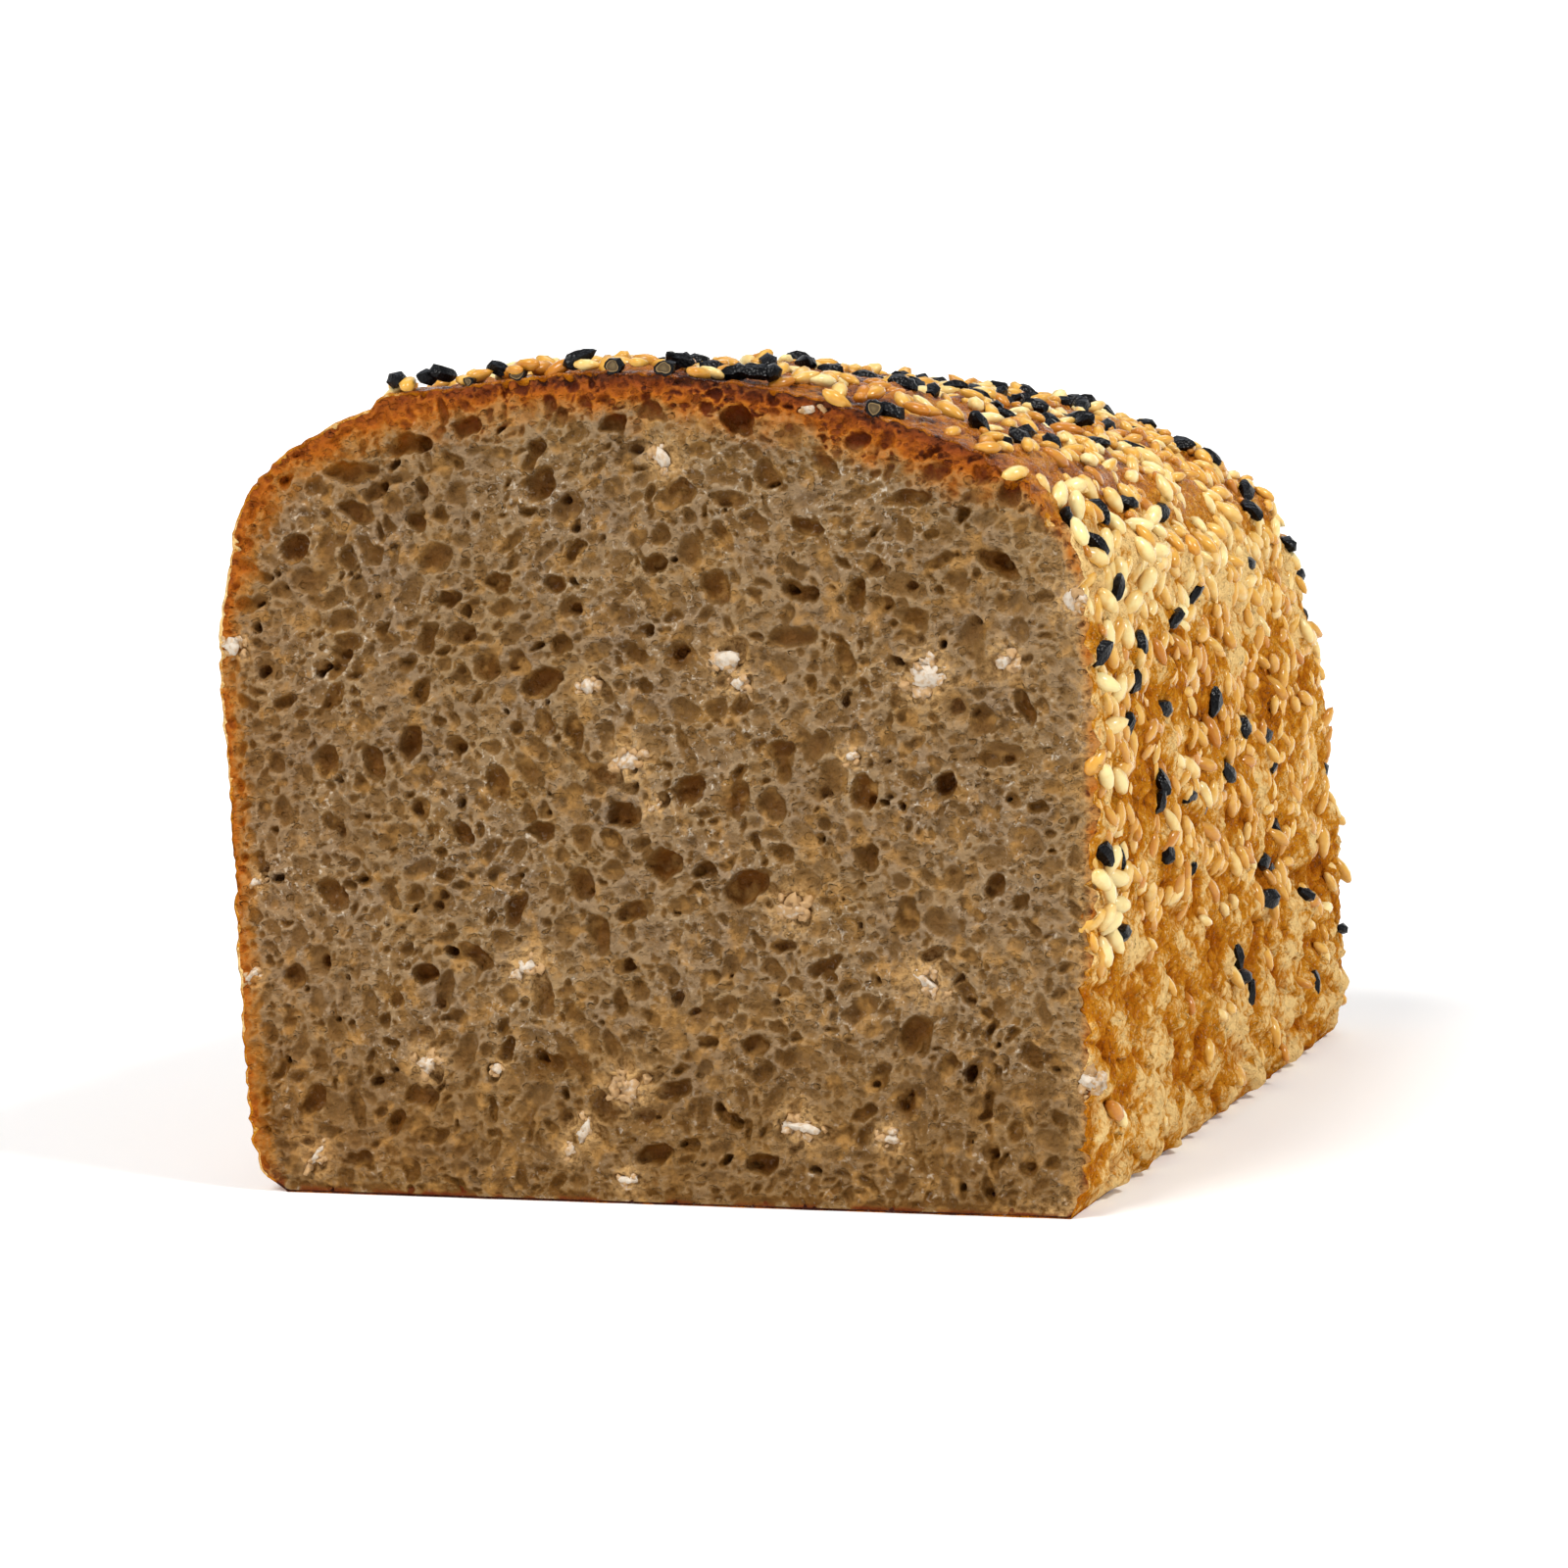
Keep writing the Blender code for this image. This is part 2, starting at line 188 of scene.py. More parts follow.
@dataclass(frozen=True)
class LoafForm:
    """The loaf's outer form, in millimetres, fitted to the box of the frame's node."""

    box: tuple[Triple, Triple]
    seed_proud: float = 0.9
    end_bulge: float = 0.8
    off_middle: float = 0.58
    dome_fall: float = 4.9
    blend_start: float = 10.0
    blend_length: float = 110.0
    round_foot: float = 12.0
    round_wall: float = 9.0
    round_dome: float = 19.0
    end_lean: float = 5.5
    end_middle: Pair = (0.8, 42.0)
    wall_heights: Pair = (6.0, 41.0)
    dome_heights: Pair = (55.0, 90.0)
    lean_heights: Pair = (20.0, 80.0)
    calm_length: float = 22.0
    calm_height: float = 6.0
    rim_height: float = 73.0
    rim_sway: float = 1.5
    rim_stand: float = 0.8
    rim_width: float = 3.0
    foot_crag: float = 1.0
    foot_height: float = 9.0
    ledge_height: float = 1.0
    waves: tuple[Wave, ...] = (
        Wave(0.50, (0.0, 0.141, 0.093), 0.8, (0.118, -0.067, 0.0), 1.9),
        Wave(0.27, (-0.21, 0.29, 0.0), 0.4, (0.13, 0.0, 0.31), 2.2),
        Wave(0.17, (0.0, 0.57, 0.49), 0.0, (0.61, 0.0, -0.38), 1.1),
    )

    @property
    def length(self) -> float:
        """From the cut face to the foot of the baked end."""
        return (self.box[1][1] - self.box[0][1]) / MM - self.end_bulge

    @property
    def height(self) -> float:
        """The dome's top at the cut face, without seeds."""
        return self.box[1][2] / MM - self.seed_proud

    @property
    def place(self) -> Array:
        """Where the loaf's own frame starts in the row frame."""
        middle_x = 0.5 * (self.box[0][0] + self.box[1][0]) / MM
        return np.array([middle_x - self.off_middle, self.box[0][1] / MM, 0.0])

    def placed(self, points: Array) -> Array:
        """Points of the loaf's own frame, in millimetres, as points of the row frame, in metres."""
        return (points + self.place) * MM

    @property
    def cut_outline(self) -> tuple[Pair, ...]:
        """The outline at the cut, from the bottom's left edge over the dome to its right edge."""
        return (
            (-46.4, 0.0), (-49.6, 2.6), (-51.1, 10.5), (-51.7, 30.0), (-52.3, 50.0),
            (-52.8, 64.5), (-51.4, 74.6), (-48.5, 83.4), (-38.6, 90.8), (-21.2, 95.4),
            (-3.2, self.height), (14.8, 95.0), (31.8, 90.6), (44.3, 85.2), (50.4, 78.0),
            (53.0, 66.0), (53.4, 45.0), (52.6, 24.0), (51.9, 3.2), (49.8, 0.0),
        )

    @property
    def end_outline(self) -> tuple[Pair, ...]:
        """The same outline where the baked end begins to round off: a lower dome, a wider foot."""
        return (
            (-45.0, 0.0), (-49.6, 3.2), (-51.0, 10.5), (-51.0, 30.0), (-51.2, 48.0),
            (-51.2, 62.0), (-49.6, 71.0), (-45.7, 79.0), (-36.2, 86.6), (-21.2, 90.8),
            (-3.2, self.height - self.dome_fall), (14.8, 90.2), (31.0, 85.8), (42.4, 79.6),
            (48.1, 72.4), (50.4, 61.0), (52.2, 44.0), (52.6, 24.0), (52.4, 4.4), (50.6, 0.0),
        )

    @staticmethod
    def smooth_outline(points: tuple[Pair, ...], count: int) -> Array:
        """Run a smooth curve through points and take even steps along it.

        Each stretch is a cubic. Its slope at a point comes from both neighbours, each weighed by
        the square root of its distance, so that the curve doesn't loop or overshoot.

        Args:
            points: The (x, z) places that the curve passes.
            count: How many steps to take.

        Returns:
            count + 1 places, shape (count + 1, 2).
        """
        knots = np.array(points, dtype=float)
        knots = np.vstack([2.0 * knots[0] - knots[1], knots, 2.0 * knots[-1] - knots[-2]])
        p0, p1, p2, p3 = knots[:-3], knots[1:-2], knots[2:-1], knots[3:]
        d1, d2, d3 = (np.sqrt(np.linalg.norm(after - before, axis=1))[:, None]
                      for before, after in ((p0, p1), (p1, p2), (p2, p3)))
        slope1 = d2 * ((p1 - p0) / d1 - (p2 - p0) / (d1 + d2) + (p2 - p1) / d2)
        slope2 = d2 * ((p2 - p1) / d2 - (p3 - p1) / (d2 + d3) + (p3 - p2) / d3)
        t = np.linspace(0.0, 1.0, 33)[:-1, None, None]
        fine = ((2 * t**3 - 3 * t**2 + 1) * p1 + (t**3 - 2 * t**2 + t) * slope1
                + (3 * t**2 - 2 * t**3) * p2 + (t**3 - t**2) * slope2)
        fine = np.vstack([fine.transpose(1, 0, 2).reshape(-1, 2), knots[-2]])
        return even_steps(fine, count + 1)

    def closed_outline(self, points: tuple[Pair, ...], over: int, base: int) -> Array:
        """One ring of (x, z): over steps over the dome, then base steps back along the bottom.

        Args:
            points: The outline's places.
            over: Steps over the dome.
            base: Steps along the bottom.

        Returns:
            The ring, shape (over + base, 2), clockwise seen from in front of the cut.
        """
        dome = self.smooth_outline(points, over)
        dome[:, 1] = np.maximum(dome[:, 1], 0.0)
        share = np.arange(1, base)[:, None] / base
        return np.vstack([dome, dome[-1] * (1.0 - share) + dome[0] * share])

    def end_rounding(self, z: Array) -> Array:
        """How far the end wall's edge is rounded at height z: least at the foot, most at the dome."""
        return (self.round_foot + self.round_wall * between(*self.wall_heights, z)
                + self.round_dome * between(*self.dome_heights, z))

    def skin(self, over: int, base: int, along: int, turn: int, wall: int) -> tuple[Array, Array]:
        """The bare outer surface as rings, from the cut face over the rounded end to its middle.

        Straight rings blend from the cut outline to the end outline. Turning rings draw in by
        rounding * (1 - cos a) while they go back by rounding * sin a. Wall rings shrink to the
        end wall's middle.

        Args:
            over: Steps over the dome.
            base: Steps along the bottom.
            along: Rings along the straight part.
            turn: Rings round the end's edge.
            wall: Rings from the edge to the end wall's middle.

        Returns:
            The rings, shape (rings, over + base, 3), and each ring's turn from 0 to pi / 2.
        """
        cut = self.closed_outline(self.cut_outline, over, base)
        end = self.closed_outline(self.end_outline, over, base)
        middle = np.array(self.end_middle)
        rounding = self.end_rounding(end[:, 1])
        straight = self.length - self.end_lean * between(*self.lean_heights, end[:, 1]) - rounding
        spread = np.linalg.norm(end - middle, axis=1)

        y_straight = straight * (np.arange(along + 1)[:, None] / along)
        change = smooth_step((y_straight - self.blend_start) / self.blend_length)[..., None]
        flat_straight = cut * (1.0 - change) + end * change

        angle = 0.5 * math.pi * np.arange(1, turn + 1)[:, None] / turn
        shrink = 1.0 - rounding * (1.0 - np.cos(angle)) / spread
        flat_turn = middle + (end - middle) * shrink[..., None]
        y_turn = straight + rounding * np.sin(angle)

        inward = np.arange(1, wall)[:, None] / wall
        flat_wall = middle + (end - middle) * ((1.0 - rounding / spread) * (1.0 - inward))[..., None]
        rise = self.length + self.end_bulge - (straight + rounding)
        y_wall = straight + rounding + rise * np.sin(0.5 * math.pi * inward)

        flat = np.concatenate([flat_straight, flat_turn, flat_wall])
        depth = np.concatenate([y_straight, y_turn, y_wall])
        turned = np.concatenate([np.zeros(along + 1), angle[:, 0], np.full(wall - 1, 0.5 * math.pi)])
        return joined(flat[..., 0], depth, flat[..., 1]), turned

    def soft_relief(self, points: Array) -> Array:
        """How far the crust stands out: the dough's waves, the tin rim's ridge and the craggy foot.

        The ridge is a bell over the height, exp(-((z - line) / width)^2). Waves and ridge fade out
        towards the cut and the bottom. A small ledge lies at the dome's left, close to the cut.

        Args:
            points: Places on the skin.

        Returns:
            The height for each place.
        """
        x, y, z = points[..., 0], points[..., 1], points[..., 2]
        waves = sum(wave.depth * np.sin(points @ np.array(wave.run_a) + wave.phase_a)
                    * np.sin(points @ np.array(wave.run_b) + wave.phase_b) for wave in self.waves)
        rim_line = self.rim_height + self.rim_sway * np.sin(0.07 * y)
        bell = np.exp(-((z - rim_line) / self.rim_width) ** 2)
        rim = self.rim_stand * between(40.0, 48.0, np.abs(x)) * bell
        crags = self.foot_crag * (np.sin(0.83 * y) * np.sin(0.37 * y + 0.6) + 0.4)
        foot = crags * between(44.0, 49.0, x) * np.exp(-(z / self.foot_height) ** 2)
        calm = smooth_step(z / self.calm_height) * smooth_step(y / self.calm_length)
        ledge = self.ledge_height * between(-32.6, -31.4, x) * between(-20.0, -30.0, x)
        ledge = ledge * between(16.0, 3.0, y) * between(60.0, 70.0, z)
        return calm * (waves + rim) + smooth_step(z / 2.0) * foot * between(4.0, 24.0, y) + ledge


# ---- meshes ----


def add_object(name: str, data: bpy.types.ID) -> bpy.types.Object:
    """Put a mesh, a lamp or a camera into the scene.

    Args:
        name: The object's name.
        data: What it shows.

    Returns:
        The object.
    """
    body = bpy.data.objects.new(name, data)
    bpy.context.scene.collection.objects.link(body)
    return body


class Piece:
    """One shown object of the loaf: a closed mesh in place, with its attributes and material."""

    def __init__(self, name: str, points: Array, faces: list[Array]) -> None:
        """Make the object.

        Args:
            name: The object's name.
            points: Vertices in metres, in the row frame.
            faces: Groups of faces, each an array with one row of vertex numbers for a face.
        """
        self.mesh = bpy.data.meshes.new(name)
        self.mesh.from_pydata(points.tolist(), [], [face for group in faces for face in group.tolist()])
        self.mesh.validate()
        self.mesh.shade_smooth()
        self.body = add_object(name, self.mesh)

    def crease(self, degrees: float) -> None:
        """Leave the edges sharp where the surface turns by more than so many degrees."""
        self.mesh.set_sharp_from_angle(angle=math.radians(degrees))

    def mark(self, name: str, values: Array) -> None:
        """Store one number for each vertex under a name that the material reads."""
        layer = self.mesh.attributes.new(name, "FLOAT", "POINT")
        layer.data.foreach_set("value", np.ascontiguousarray(values, dtype=np.float32).ravel())

    def finish(self, material: bpy.types.Material, slot: str, node: str | None = None) -> "Piece":
        """Dress the piece and tie it to the frame.

        Args:
            material: The piece's material.
            slot: A slot name of the record; not used.
            node: The node that it stands for, if any.

        Returns:
            This piece.
        """
        self.mesh.materials.append(material)
        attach(self.body, "root")
        if node:
            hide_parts(node)
        return self


def ring_faces(rings: int, columns: int) -> Array:
    """Quads between neighbouring closed rings, facing out where the rings run clockwise to the rear.

    Args:
        rings: How many rings.
        columns: How many points each ring has.

    Returns:
        Rows of four vertex numbers.
    """
    ring = np.arange(rings - 1)[:, None] * columns
    here = np.arange(columns)[None, :]
    after = (here + 1) % columns
    quads = joined(ring + here, ring + columns + here, ring + columns + after, ring + after)
    return quads.reshape(-1, 4)


def closed_faces(rings: int, columns: int, turned: bool = False) -> list[Array]:
    """Faces of a closed skin: quads between rings, and a fan at each end round one more vertex.

    The vertices are the rings in order, then the first end's middle, then the last end's.

    Args:
        rings: How many rings.
        columns: How many points each ring has.
        turned: True where the rings run anticlockwise, so that the faces still look out.

    Returns:
        The quads and the triangles, as rows of vertex numbers.
    """
    here = np.arange(columns)
    after = (here + 1) % columns
    last = (rings - 1) * columns
    tip = rings * columns
    fans = np.concatenate([joined(tip, here, after), joined(last + here, tip + 1, last + after)])
    faces = [ring_faces(rings, columns), fans]
    if turned:
        faces = [np.roll(group[:, ::-1], 1, axis=1) for group in faces]
    return faces


def copied_faces(faces: list[Array], copies: int, count: int, first: int = 0) -> list[Array]:
    """The same faces for copies of a shape of count vertices that follow each other from first."""
    shift = first + (np.arange(copies) * count)[:, None, None]
    return [(group[None] + shift).reshape(-1, group.shape[1]) for group in faces]


def grid_normals(grid: Array) -> Array:
    """Outward unit normals of closed rings: the way round crossed with the way back."""
    around = np.roll(grid, -1, axis=1) - np.roll(grid, 1, axis=1)
    return unit(np.cross(around, np.gradient(grid, axis=0)))


# ---- materials ----


class Blend(Enum):
    """How a second colour is laid over the first."""

    MIX = "MIX"
    MULTIPLY = "MULTIPLY"


class Span(NamedTuple):
    """A pattern's range from low to high, and the range that it is moved to."""

    low: float
    high: float
    to_low: float = 0.0
    to_high: float = 1.0


class Shader:
    """A material's nodes, joined up by short calls. Patterns are sized in millimetres."""

    def __init__(self, name: str) -> None:
        """Start a material with one Principled shader.

        Args:
            name: The material's name.
        """
        self.material = bpy.data.materials.new(name)
        self.material.use_nodes = True
        self.tree = self.material.node_tree
        self.surface = self.tree.nodes["Principled BSDF"]
        self.place = self.node("TexCoord").outputs["Object"]

    def put(self, socket: Socket, value: object) -> None:
        """Join a socket to another, or set its value.

        Args:
            socket: The socket to feed.
            value: Another socket, or a number, a colour or a size for each axis.
        """
        if isinstance(value, Socket):
            self.tree.links.new(value, socket)
        elif socket.type == "RGBA":
            socket.default_value = (*value, 1.0)
        else:
            socket.default_value = value

    def feed(self, node: bpy.types.Node, inputs: dict[str, object]) -> None:
        """Feed a node's sockets by name, where an underscore stands for a space."""
        for name, value in inputs.items():
            self.put(node.inputs[name.replace("_", " ")], value)

    def node(self, kind: str, **inputs: object) -> bpy.types.Node:
        """Add a node.

        Args:
            kind: Its type, without the leading ShaderNode.
            **inputs: What its sockets get.

        Returns:
            The node.
        """
        node = self.tree.nodes.new("ShaderNode" + kind)
        self.feed(node, inputs)
        return node

    def set(self, **inputs: object) -> None:
        """Feed the Principled shader's sockets by name."""
        self.feed(self.surface, inputs)

    def mark(self, name: str) -> Socket:
        """A number that the mesh stores at each vertex.

        Args:
            name: What it is stored under.

        Returns:
            The number.
        """
        node = self.node("Attribute")
        node.attribute_name = name
        return node.outputs["Fac"]

    def bent(self, size: float, reach: float, scale: Triple = (1.0, 1.0, 1.0)) -> Socket:
        """The surface's place, moved about by noise so that a pattern on it loses its evenness.

        Args:
            size: Width of the noise's clouds in millimetres.
            reach: How far it moves a place in millimetres.
            scale: A factor for each axis, after the bend.

        Returns:
            The bent place.
        """
        noise = self.node("TexNoise", Vector=self.place, Scale=1.0 / (size * MM), Detail=1.0)
        moved = self.reckon("VectorMath", "MULTIPLY_ADD", noise.outputs["Color"],
                            (2.0 * reach * MM,) * 3, self.place)
        return self.node("Mapping", Vector=moved, Scale=scale).outputs["Vector"]

    def noise(self, size: float, detail: float = 3.0, rough: float = 0.55,
              warp: float = 0.0) -> Socket:
        """Clouds of so many millimetres, with finer and rougher layers, folded by the warp."""
        node = self.node("TexNoise", Vector=self.place, Scale=1.0 / (size * MM), Detail=detail,
                         Roughness=rough, Distortion=warp)
        return node.outputs["Fac"]

    def cells(self, size: float, place: Socket | None = None) -> tuple[Socket, Socket]:
        """Cells round scattered middles.

        Args:
            size: Width of a cell in millimetres.
            place: Where it is read, or nothing for the surface's place.

        Returns:
            The distance to the nearest middle in cell widths, and that cell's own number.
        """
        node = self.node("TexVoronoi", Vector=place or self.place, Scale=1.0 / (size * MM))
        split = self.node("SeparateColor", Color=node.outputs["Color"])
        return node.outputs["Distance"], split.outputs["Red"]

    def ramp(self, value: Socket, *stops: tuple[float, Colour]) -> Socket:
        """A colour for each value.

        Args:
            value: What picks the colour.
            *stops: The values and their colours, in order.

        Returns:
            The colour.
        """
        node = self.node("ValToRGB", Fac=value)
        bar = node.color_ramp
        while len(bar.elements) < len(stops):
            bar.elements.new(0.5)
        for element, (position, colour) in zip(bar.elements, stops):
            element.position = position
            element.color = (*colour, 1.0)
        return node.outputs["Color"]

    def spread(self, value: Socket, span: Span) -> Socket:
        """Move a value from the span's first range to its second, held at the ends."""
        node = self.node("MapRange", Value=value, From_Min=span.low, From_Max=span.high,
                         To_Min=span.to_low, To_Max=span.to_high)
        return node.outputs["Result"]

    def reckon(self, kind: str, how: str, *values: object) -> Socket:
        """Reckon with numbers or with vectors.

        Args:
            kind: Math for numbers, VectorMath for vectors.
            how: What is done, such as ADD, SUBTRACT or MAXIMUM.
            *values: The numbers or vectors.

        Returns:
            The outcome.
        """
        node = self.node(kind)
        node.operation = how
        for socket, value in zip(node.inputs, values):
            self.put(socket, value)
        return node.outputs[0]

    def total(self, *values: Socket) -> Socket:
        """The sum of the values."""
        return reduce(partial(self.reckon, "Math", "ADD"), values)

    def product(self, *values: Socket) -> Socket:
        """The product of the values."""
        return reduce(partial(self.reckon, "Math", "MULTIPLY"), values)

    def mix(self, share: object, first: object, second: object,
            blend: Blend = Blend.MIX) -> Socket:
        """Lay a second colour over a first.

        Args:
            share: How much of the second shows.
            first: The colour below.
            second: The colour above.
            blend: How it is laid.

        Returns:
            The mixed colour.
        """
        node = self.node("Mix", Factor=share)
        node.data_type = "RGBA"
        node.blend_type = blend.value
        colours = [socket for socket in node.inputs if socket.type == "RGBA"]
        self.put(colours[0], first)
        self.put(colours[1], second)
        return next(socket for socket in node.outputs if socket.type == "RGBA")

    def bump(self, height: Socket, depth: float, strength: float = 1.0,
             below: Socket | None = None) -> Socket:
        """Fine relief.

        Args:
            height: The relief, from 0 to 1.
            depth: How high its 1 stands, in millimetres.
            strength: How strongly it shows.
            below: Relief that it lies on.

        Returns:
            The normal.
        """
        node = self.node("Bump", Height=height, Distance=depth * MM, Strength=strength)
        if below:
            self.put(node.inputs["Normal"], below)
        return node.outputs["Normal"]


@dataclass(frozen=True)
class CrustFinish:
    """Baked crust: golden walls, a brown glossy dome, a pale seam at the tin's rim, some flour with
    painted glints, painted shade in its pits.
    """

    pale: Colour = (0.80, 0.535, 0.215)
    golden: Colour = (0.54, 0.215, 0.014)
    amber: Colour = (0.40, 0.118, 0.005)
    brown: Colour = (0.170, 0.040, 0.004)
    dark: Colour = (0.040, 0.012, 0.008)
    # flour: pale flour specks, partly painted glints
    flour_and_glint: Colour = (0.84, 0.62, 0.25)
    # pit: painted shade in the crust's pits
    pit_shade: Colour = (0.66, 0.44, 0.18)
    stops: tuple[float, ...] = (0.05, 0.28, 0.56, 0.86, 1.0)
    cloud_size: float = 7.0
    grain_size: float = 1.5
    speck_size: float = 0.5
    bubble_size: float = 1.3
    cloud_sway: Span = Span(0.3, 0.7, -0.17, 0.17)
    grain_sway: Span = Span(0.32, 0.68, -0.17, 0.17)
    speck_sway: Span = Span(0.35, 0.65, -0.09, 0.09)
    blister_shade_sway: Span = Span(0.0, 0.7, -0.07, 0.09)
    cell_sway: Span = Span(0.0, 1.0, -0.06, 0.06)
    relief_shade_sway: Span = Span(-1.0, 1.0, 0.14, -0.14)
    pit_shade_share: Span = Span(-0.15, -1.0, 0.0, 0.62)
    flour_specks: Span = Span(0.58, 0.68, 0.0, 0.7)
    flour_by_bake: Span = Span(0.25, 0.6, 1.0, 0.08)
    flour_and_glint_by_stand: Span = Span(-0.6, 0.4, 0.15, 1.0)
    gloss_drops: Span = Span(0.60, 0.66, 0.0, 0.6)
    glaze_patches: Span = Span(0.3, 0.6, 0.45, 1.0)
    glaze_roughness: float = 0.15

    def material(self) -> bpy.types.Material:
        """Build it: the bake mark and layers of noise pick the colour; pits and the blisters' edges are
        darker with painted shade and crests paler with painted light; specks of flour, partly painted
        glints, are paler, and the glaze mark makes the dome shine.

        Returns:
            The material.
        """
        shader = Shader("baked_crust")
        bake, stand = shader.mark("bake"), shader.mark("stand")
        cloud = shader.noise(self.cloud_size, detail=5.0, rough=0.62)
        grain = shader.noise(self.grain_size, detail=4.0, rough=0.65)
        speck = shader.noise(self.speck_size, detail=3.0, rough=0.6)
        bubble, cell = shader.cells(self.bubble_size, shader.bent(2.0, 0.3))
        # The stand and bubble sways paint shade and light: darker in pits and at the blisters' edges,
        # paler on crests.
        sways = ((cloud, self.cloud_sway), (grain, self.grain_sway), (speck, self.speck_sway),
                 (bubble, self.blister_shade_sway), (cell, self.cell_sway), (stand, self.relief_shade_sway))
        level = shader.total(bake, *(shader.spread(*sway) for sway in sways))
        colours = (self.pale, self.golden, self.amber, self.brown, self.dark)
        colour = shader.ramp(level, *zip(self.stops, colours))
        # Painted shade in the pits.
        colour = shader.mix(shader.spread(stand, self.pit_shade_share), colour, self.pit_shade, Blend.MULTIPLY)
        # Flour specks, partly painted glints, most on the crests.
        flour_and_glint = shader.product(shader.spread(speck, self.flour_specks),
                               shader.spread(bake, self.flour_by_bake),
                               shader.spread(stand, self.flour_and_glint_by_stand))
        colour = shader.mix(flour_and_glint, colour, self.flour_and_glint)
        glaze = shader.product(shader.mark("glaze"), shader.spread(grain, self.glaze_patches))
        gloss = shader.reckon("Math", "MAXIMUM", glaze, shader.spread(speck, self.gloss_drops))
        relief = shader.bump(bubble, -0.6, 0.8, shader.bump(speck, 0.40))
        relief = shader.bump(grain, 0.9, 0.9, relief)
        shader.set(Base_Color=colour, Roughness=0.6, Specular_IOR_Level=0.0, Normal=relief,
                   Coat_Weight=gloss, Coat_Roughness=self.glaze_roughness, Coat_Normal=relief)
        return shader.material


@dataclass(frozen=True)
class CrumbFinish:
    """Moist brown crumb: tan walls, painted warm brown shade in the cells and holes, specks of bran,
    browned at the rim.
    """

    wall: Colour = (0.262, 0.174, 0.091)
    # edge: a painted highlight on the cells' rims
    edge: Colour = (0.420, 0.315, 0.200)
    # cell and cup: the wall colour with painted shade, for the cells' insides
    cell: Colour = (0.188, 0.102, 0.033)
    cup_shade: Colour = (0.125, 0.055, 0.009)
    # hole: painted shade in the deepest holes, in warm red-brown
    hole: Colour = (0.160, 0.056, 0.007)
    cool: Colour = (0.91, 0.89, 0.93)
    mild: Colour = (1.08, 1.02, 0.88)
    warm: Colour = (1.0, 0.80, 0.58)
    bran: Colour = (0.370, 0.190, 0.050)
    # starch: pale starch specks, which also serve as painted glints
    starch_and_glint: Colour = (0.66, 0.57, 0.45)
    tan: Colour = (0.52, 0.310, 0.120)
    rim_gold: Colour = (0.45, 0.165, 0.011)
    rim: Colour = (0.37, 0.090, 0.002)
    # rim_edge_highlight: a painted highlight on the cells' rims in the browned band
    rim_edge_highlight: Colour = (0.58, 0.225, 0.018)
    rim_deep: Colour = (0.22, 0.040, 0.002)
    rim_dark: Colour = (0.080, 0.014, 0.002)
    # rim_pore_shade: painted shade in the browned band's pores
    rim_pore_shade: Colour = (0.28, 0.16, 0.10)
    flattened: Triple = (0.85, 1.0, 1.35)
    pit_inside: Span = Span(0.52, 0.36)
    pit_filled: Span = Span(0.2, 1.0)
    open_by_tone: Span = Span(0.05, 0.5, 1.0, 0.3)
    small_pit_shade: Span = Span(0.0, 1.0, 0.0, 0.46)
    tiny_pit_shade: Span = Span(0.0, 1.0, 0.0, 0.24)
    grain_sway: Span = Span(0.3, 0.7, -0.10, 0.10)
    hole_shade_by_depth: Span = Span(0.8, 2.4, 0.0, 0.9)
    highlight_by_rise: Span = Span(0.03, 0.30)
    highlight_by_level: Span = Span(0.1, 0.4)
    highlight_patches: Span = Span(0.42, 0.60, 0.14, 0.55)
    bran_specks: Span = Span(0.55, 0.70, 0.0, 0.7)
    starch_specks: Span = Span(0.60, 0.74, 0.0, 0.80)
    starch_patches: Span = Span(0.45, 0.62, 0.10, 1.0)
    grain_crumbs: Span = Span(0.35, 0.6)
    grain_share: Span = Span(0.05, 0.6, 0.0, 0.85)
    warm_share: Span = Span(0.0, 1.0, 0.0, 0.5)
    rim_wander: Span = Span(0.3, 0.7, -0.16, 0.16)
    rim_by_level: Span = Span(0.0, 1.0, 0.0, 0.16)
    rim_start: Span = Span(0.03, 0.2)
    rim_pore_shade_by_level: Span = Span(0.12, 0.60, 0.0, 0.95)
    pores_by_warmth: Span = Span(0.1, 0.7, 1.0, 0.25)
    rim_highlight_share: Span = Span(0.0, 0.5, 0.0, 0.60)
    rim_share: Span = Span(0.10, 0.48, 0.0, 0.97)

    def pits(self, shader: Shader, size: float, bend: float) -> Socket:
        """Fine foam: flattened pits so many millimetres apart, some darker with painted shade, with bent
        outlines.
        """
        gap, own = shader.cells(size, shader.bent(1.3 * size, bend, self.flattened))
        return shader.product(shader.spread(gap, self.pit_inside), shader.spread(own, self.pit_filled))

    def browned(self, shader: Shader, bare: Socket, level: Socket,
                edge: Socket) -> Socket:
        """Brown the crumb by the crust, from gold to nearly black, with painted shade in the pores and
        painted highlights on the cells' rims.

        Args:
            shader: The material in the making.
            bare: The crumb's own colour.
            level: How dark the place is, with the painted shade in the cells.
            edge: How much painted highlight a cell's rim gets.

        Returns:
            The colour.
        """
        rim, warm = shader.mark("rim"), shader.mark("warm")
        wander = shader.noise(3.2, detail=3.0, rough=0.6)
        # Browner where the rim mark says, and darker in the cells by painted shade.
        burnt = shader.total(rim, shader.spread(wander, self.rim_wander),
                             shader.spread(level, self.rim_by_level))
        burnt = shader.product(burnt, shader.spread(rim, self.rim_start))
        colour = shader.ramp(burnt, (0.25, self.rim_gold), (0.52, self.rim), (0.80, self.rim_deep),
                             (1.0, self.rim_dark))
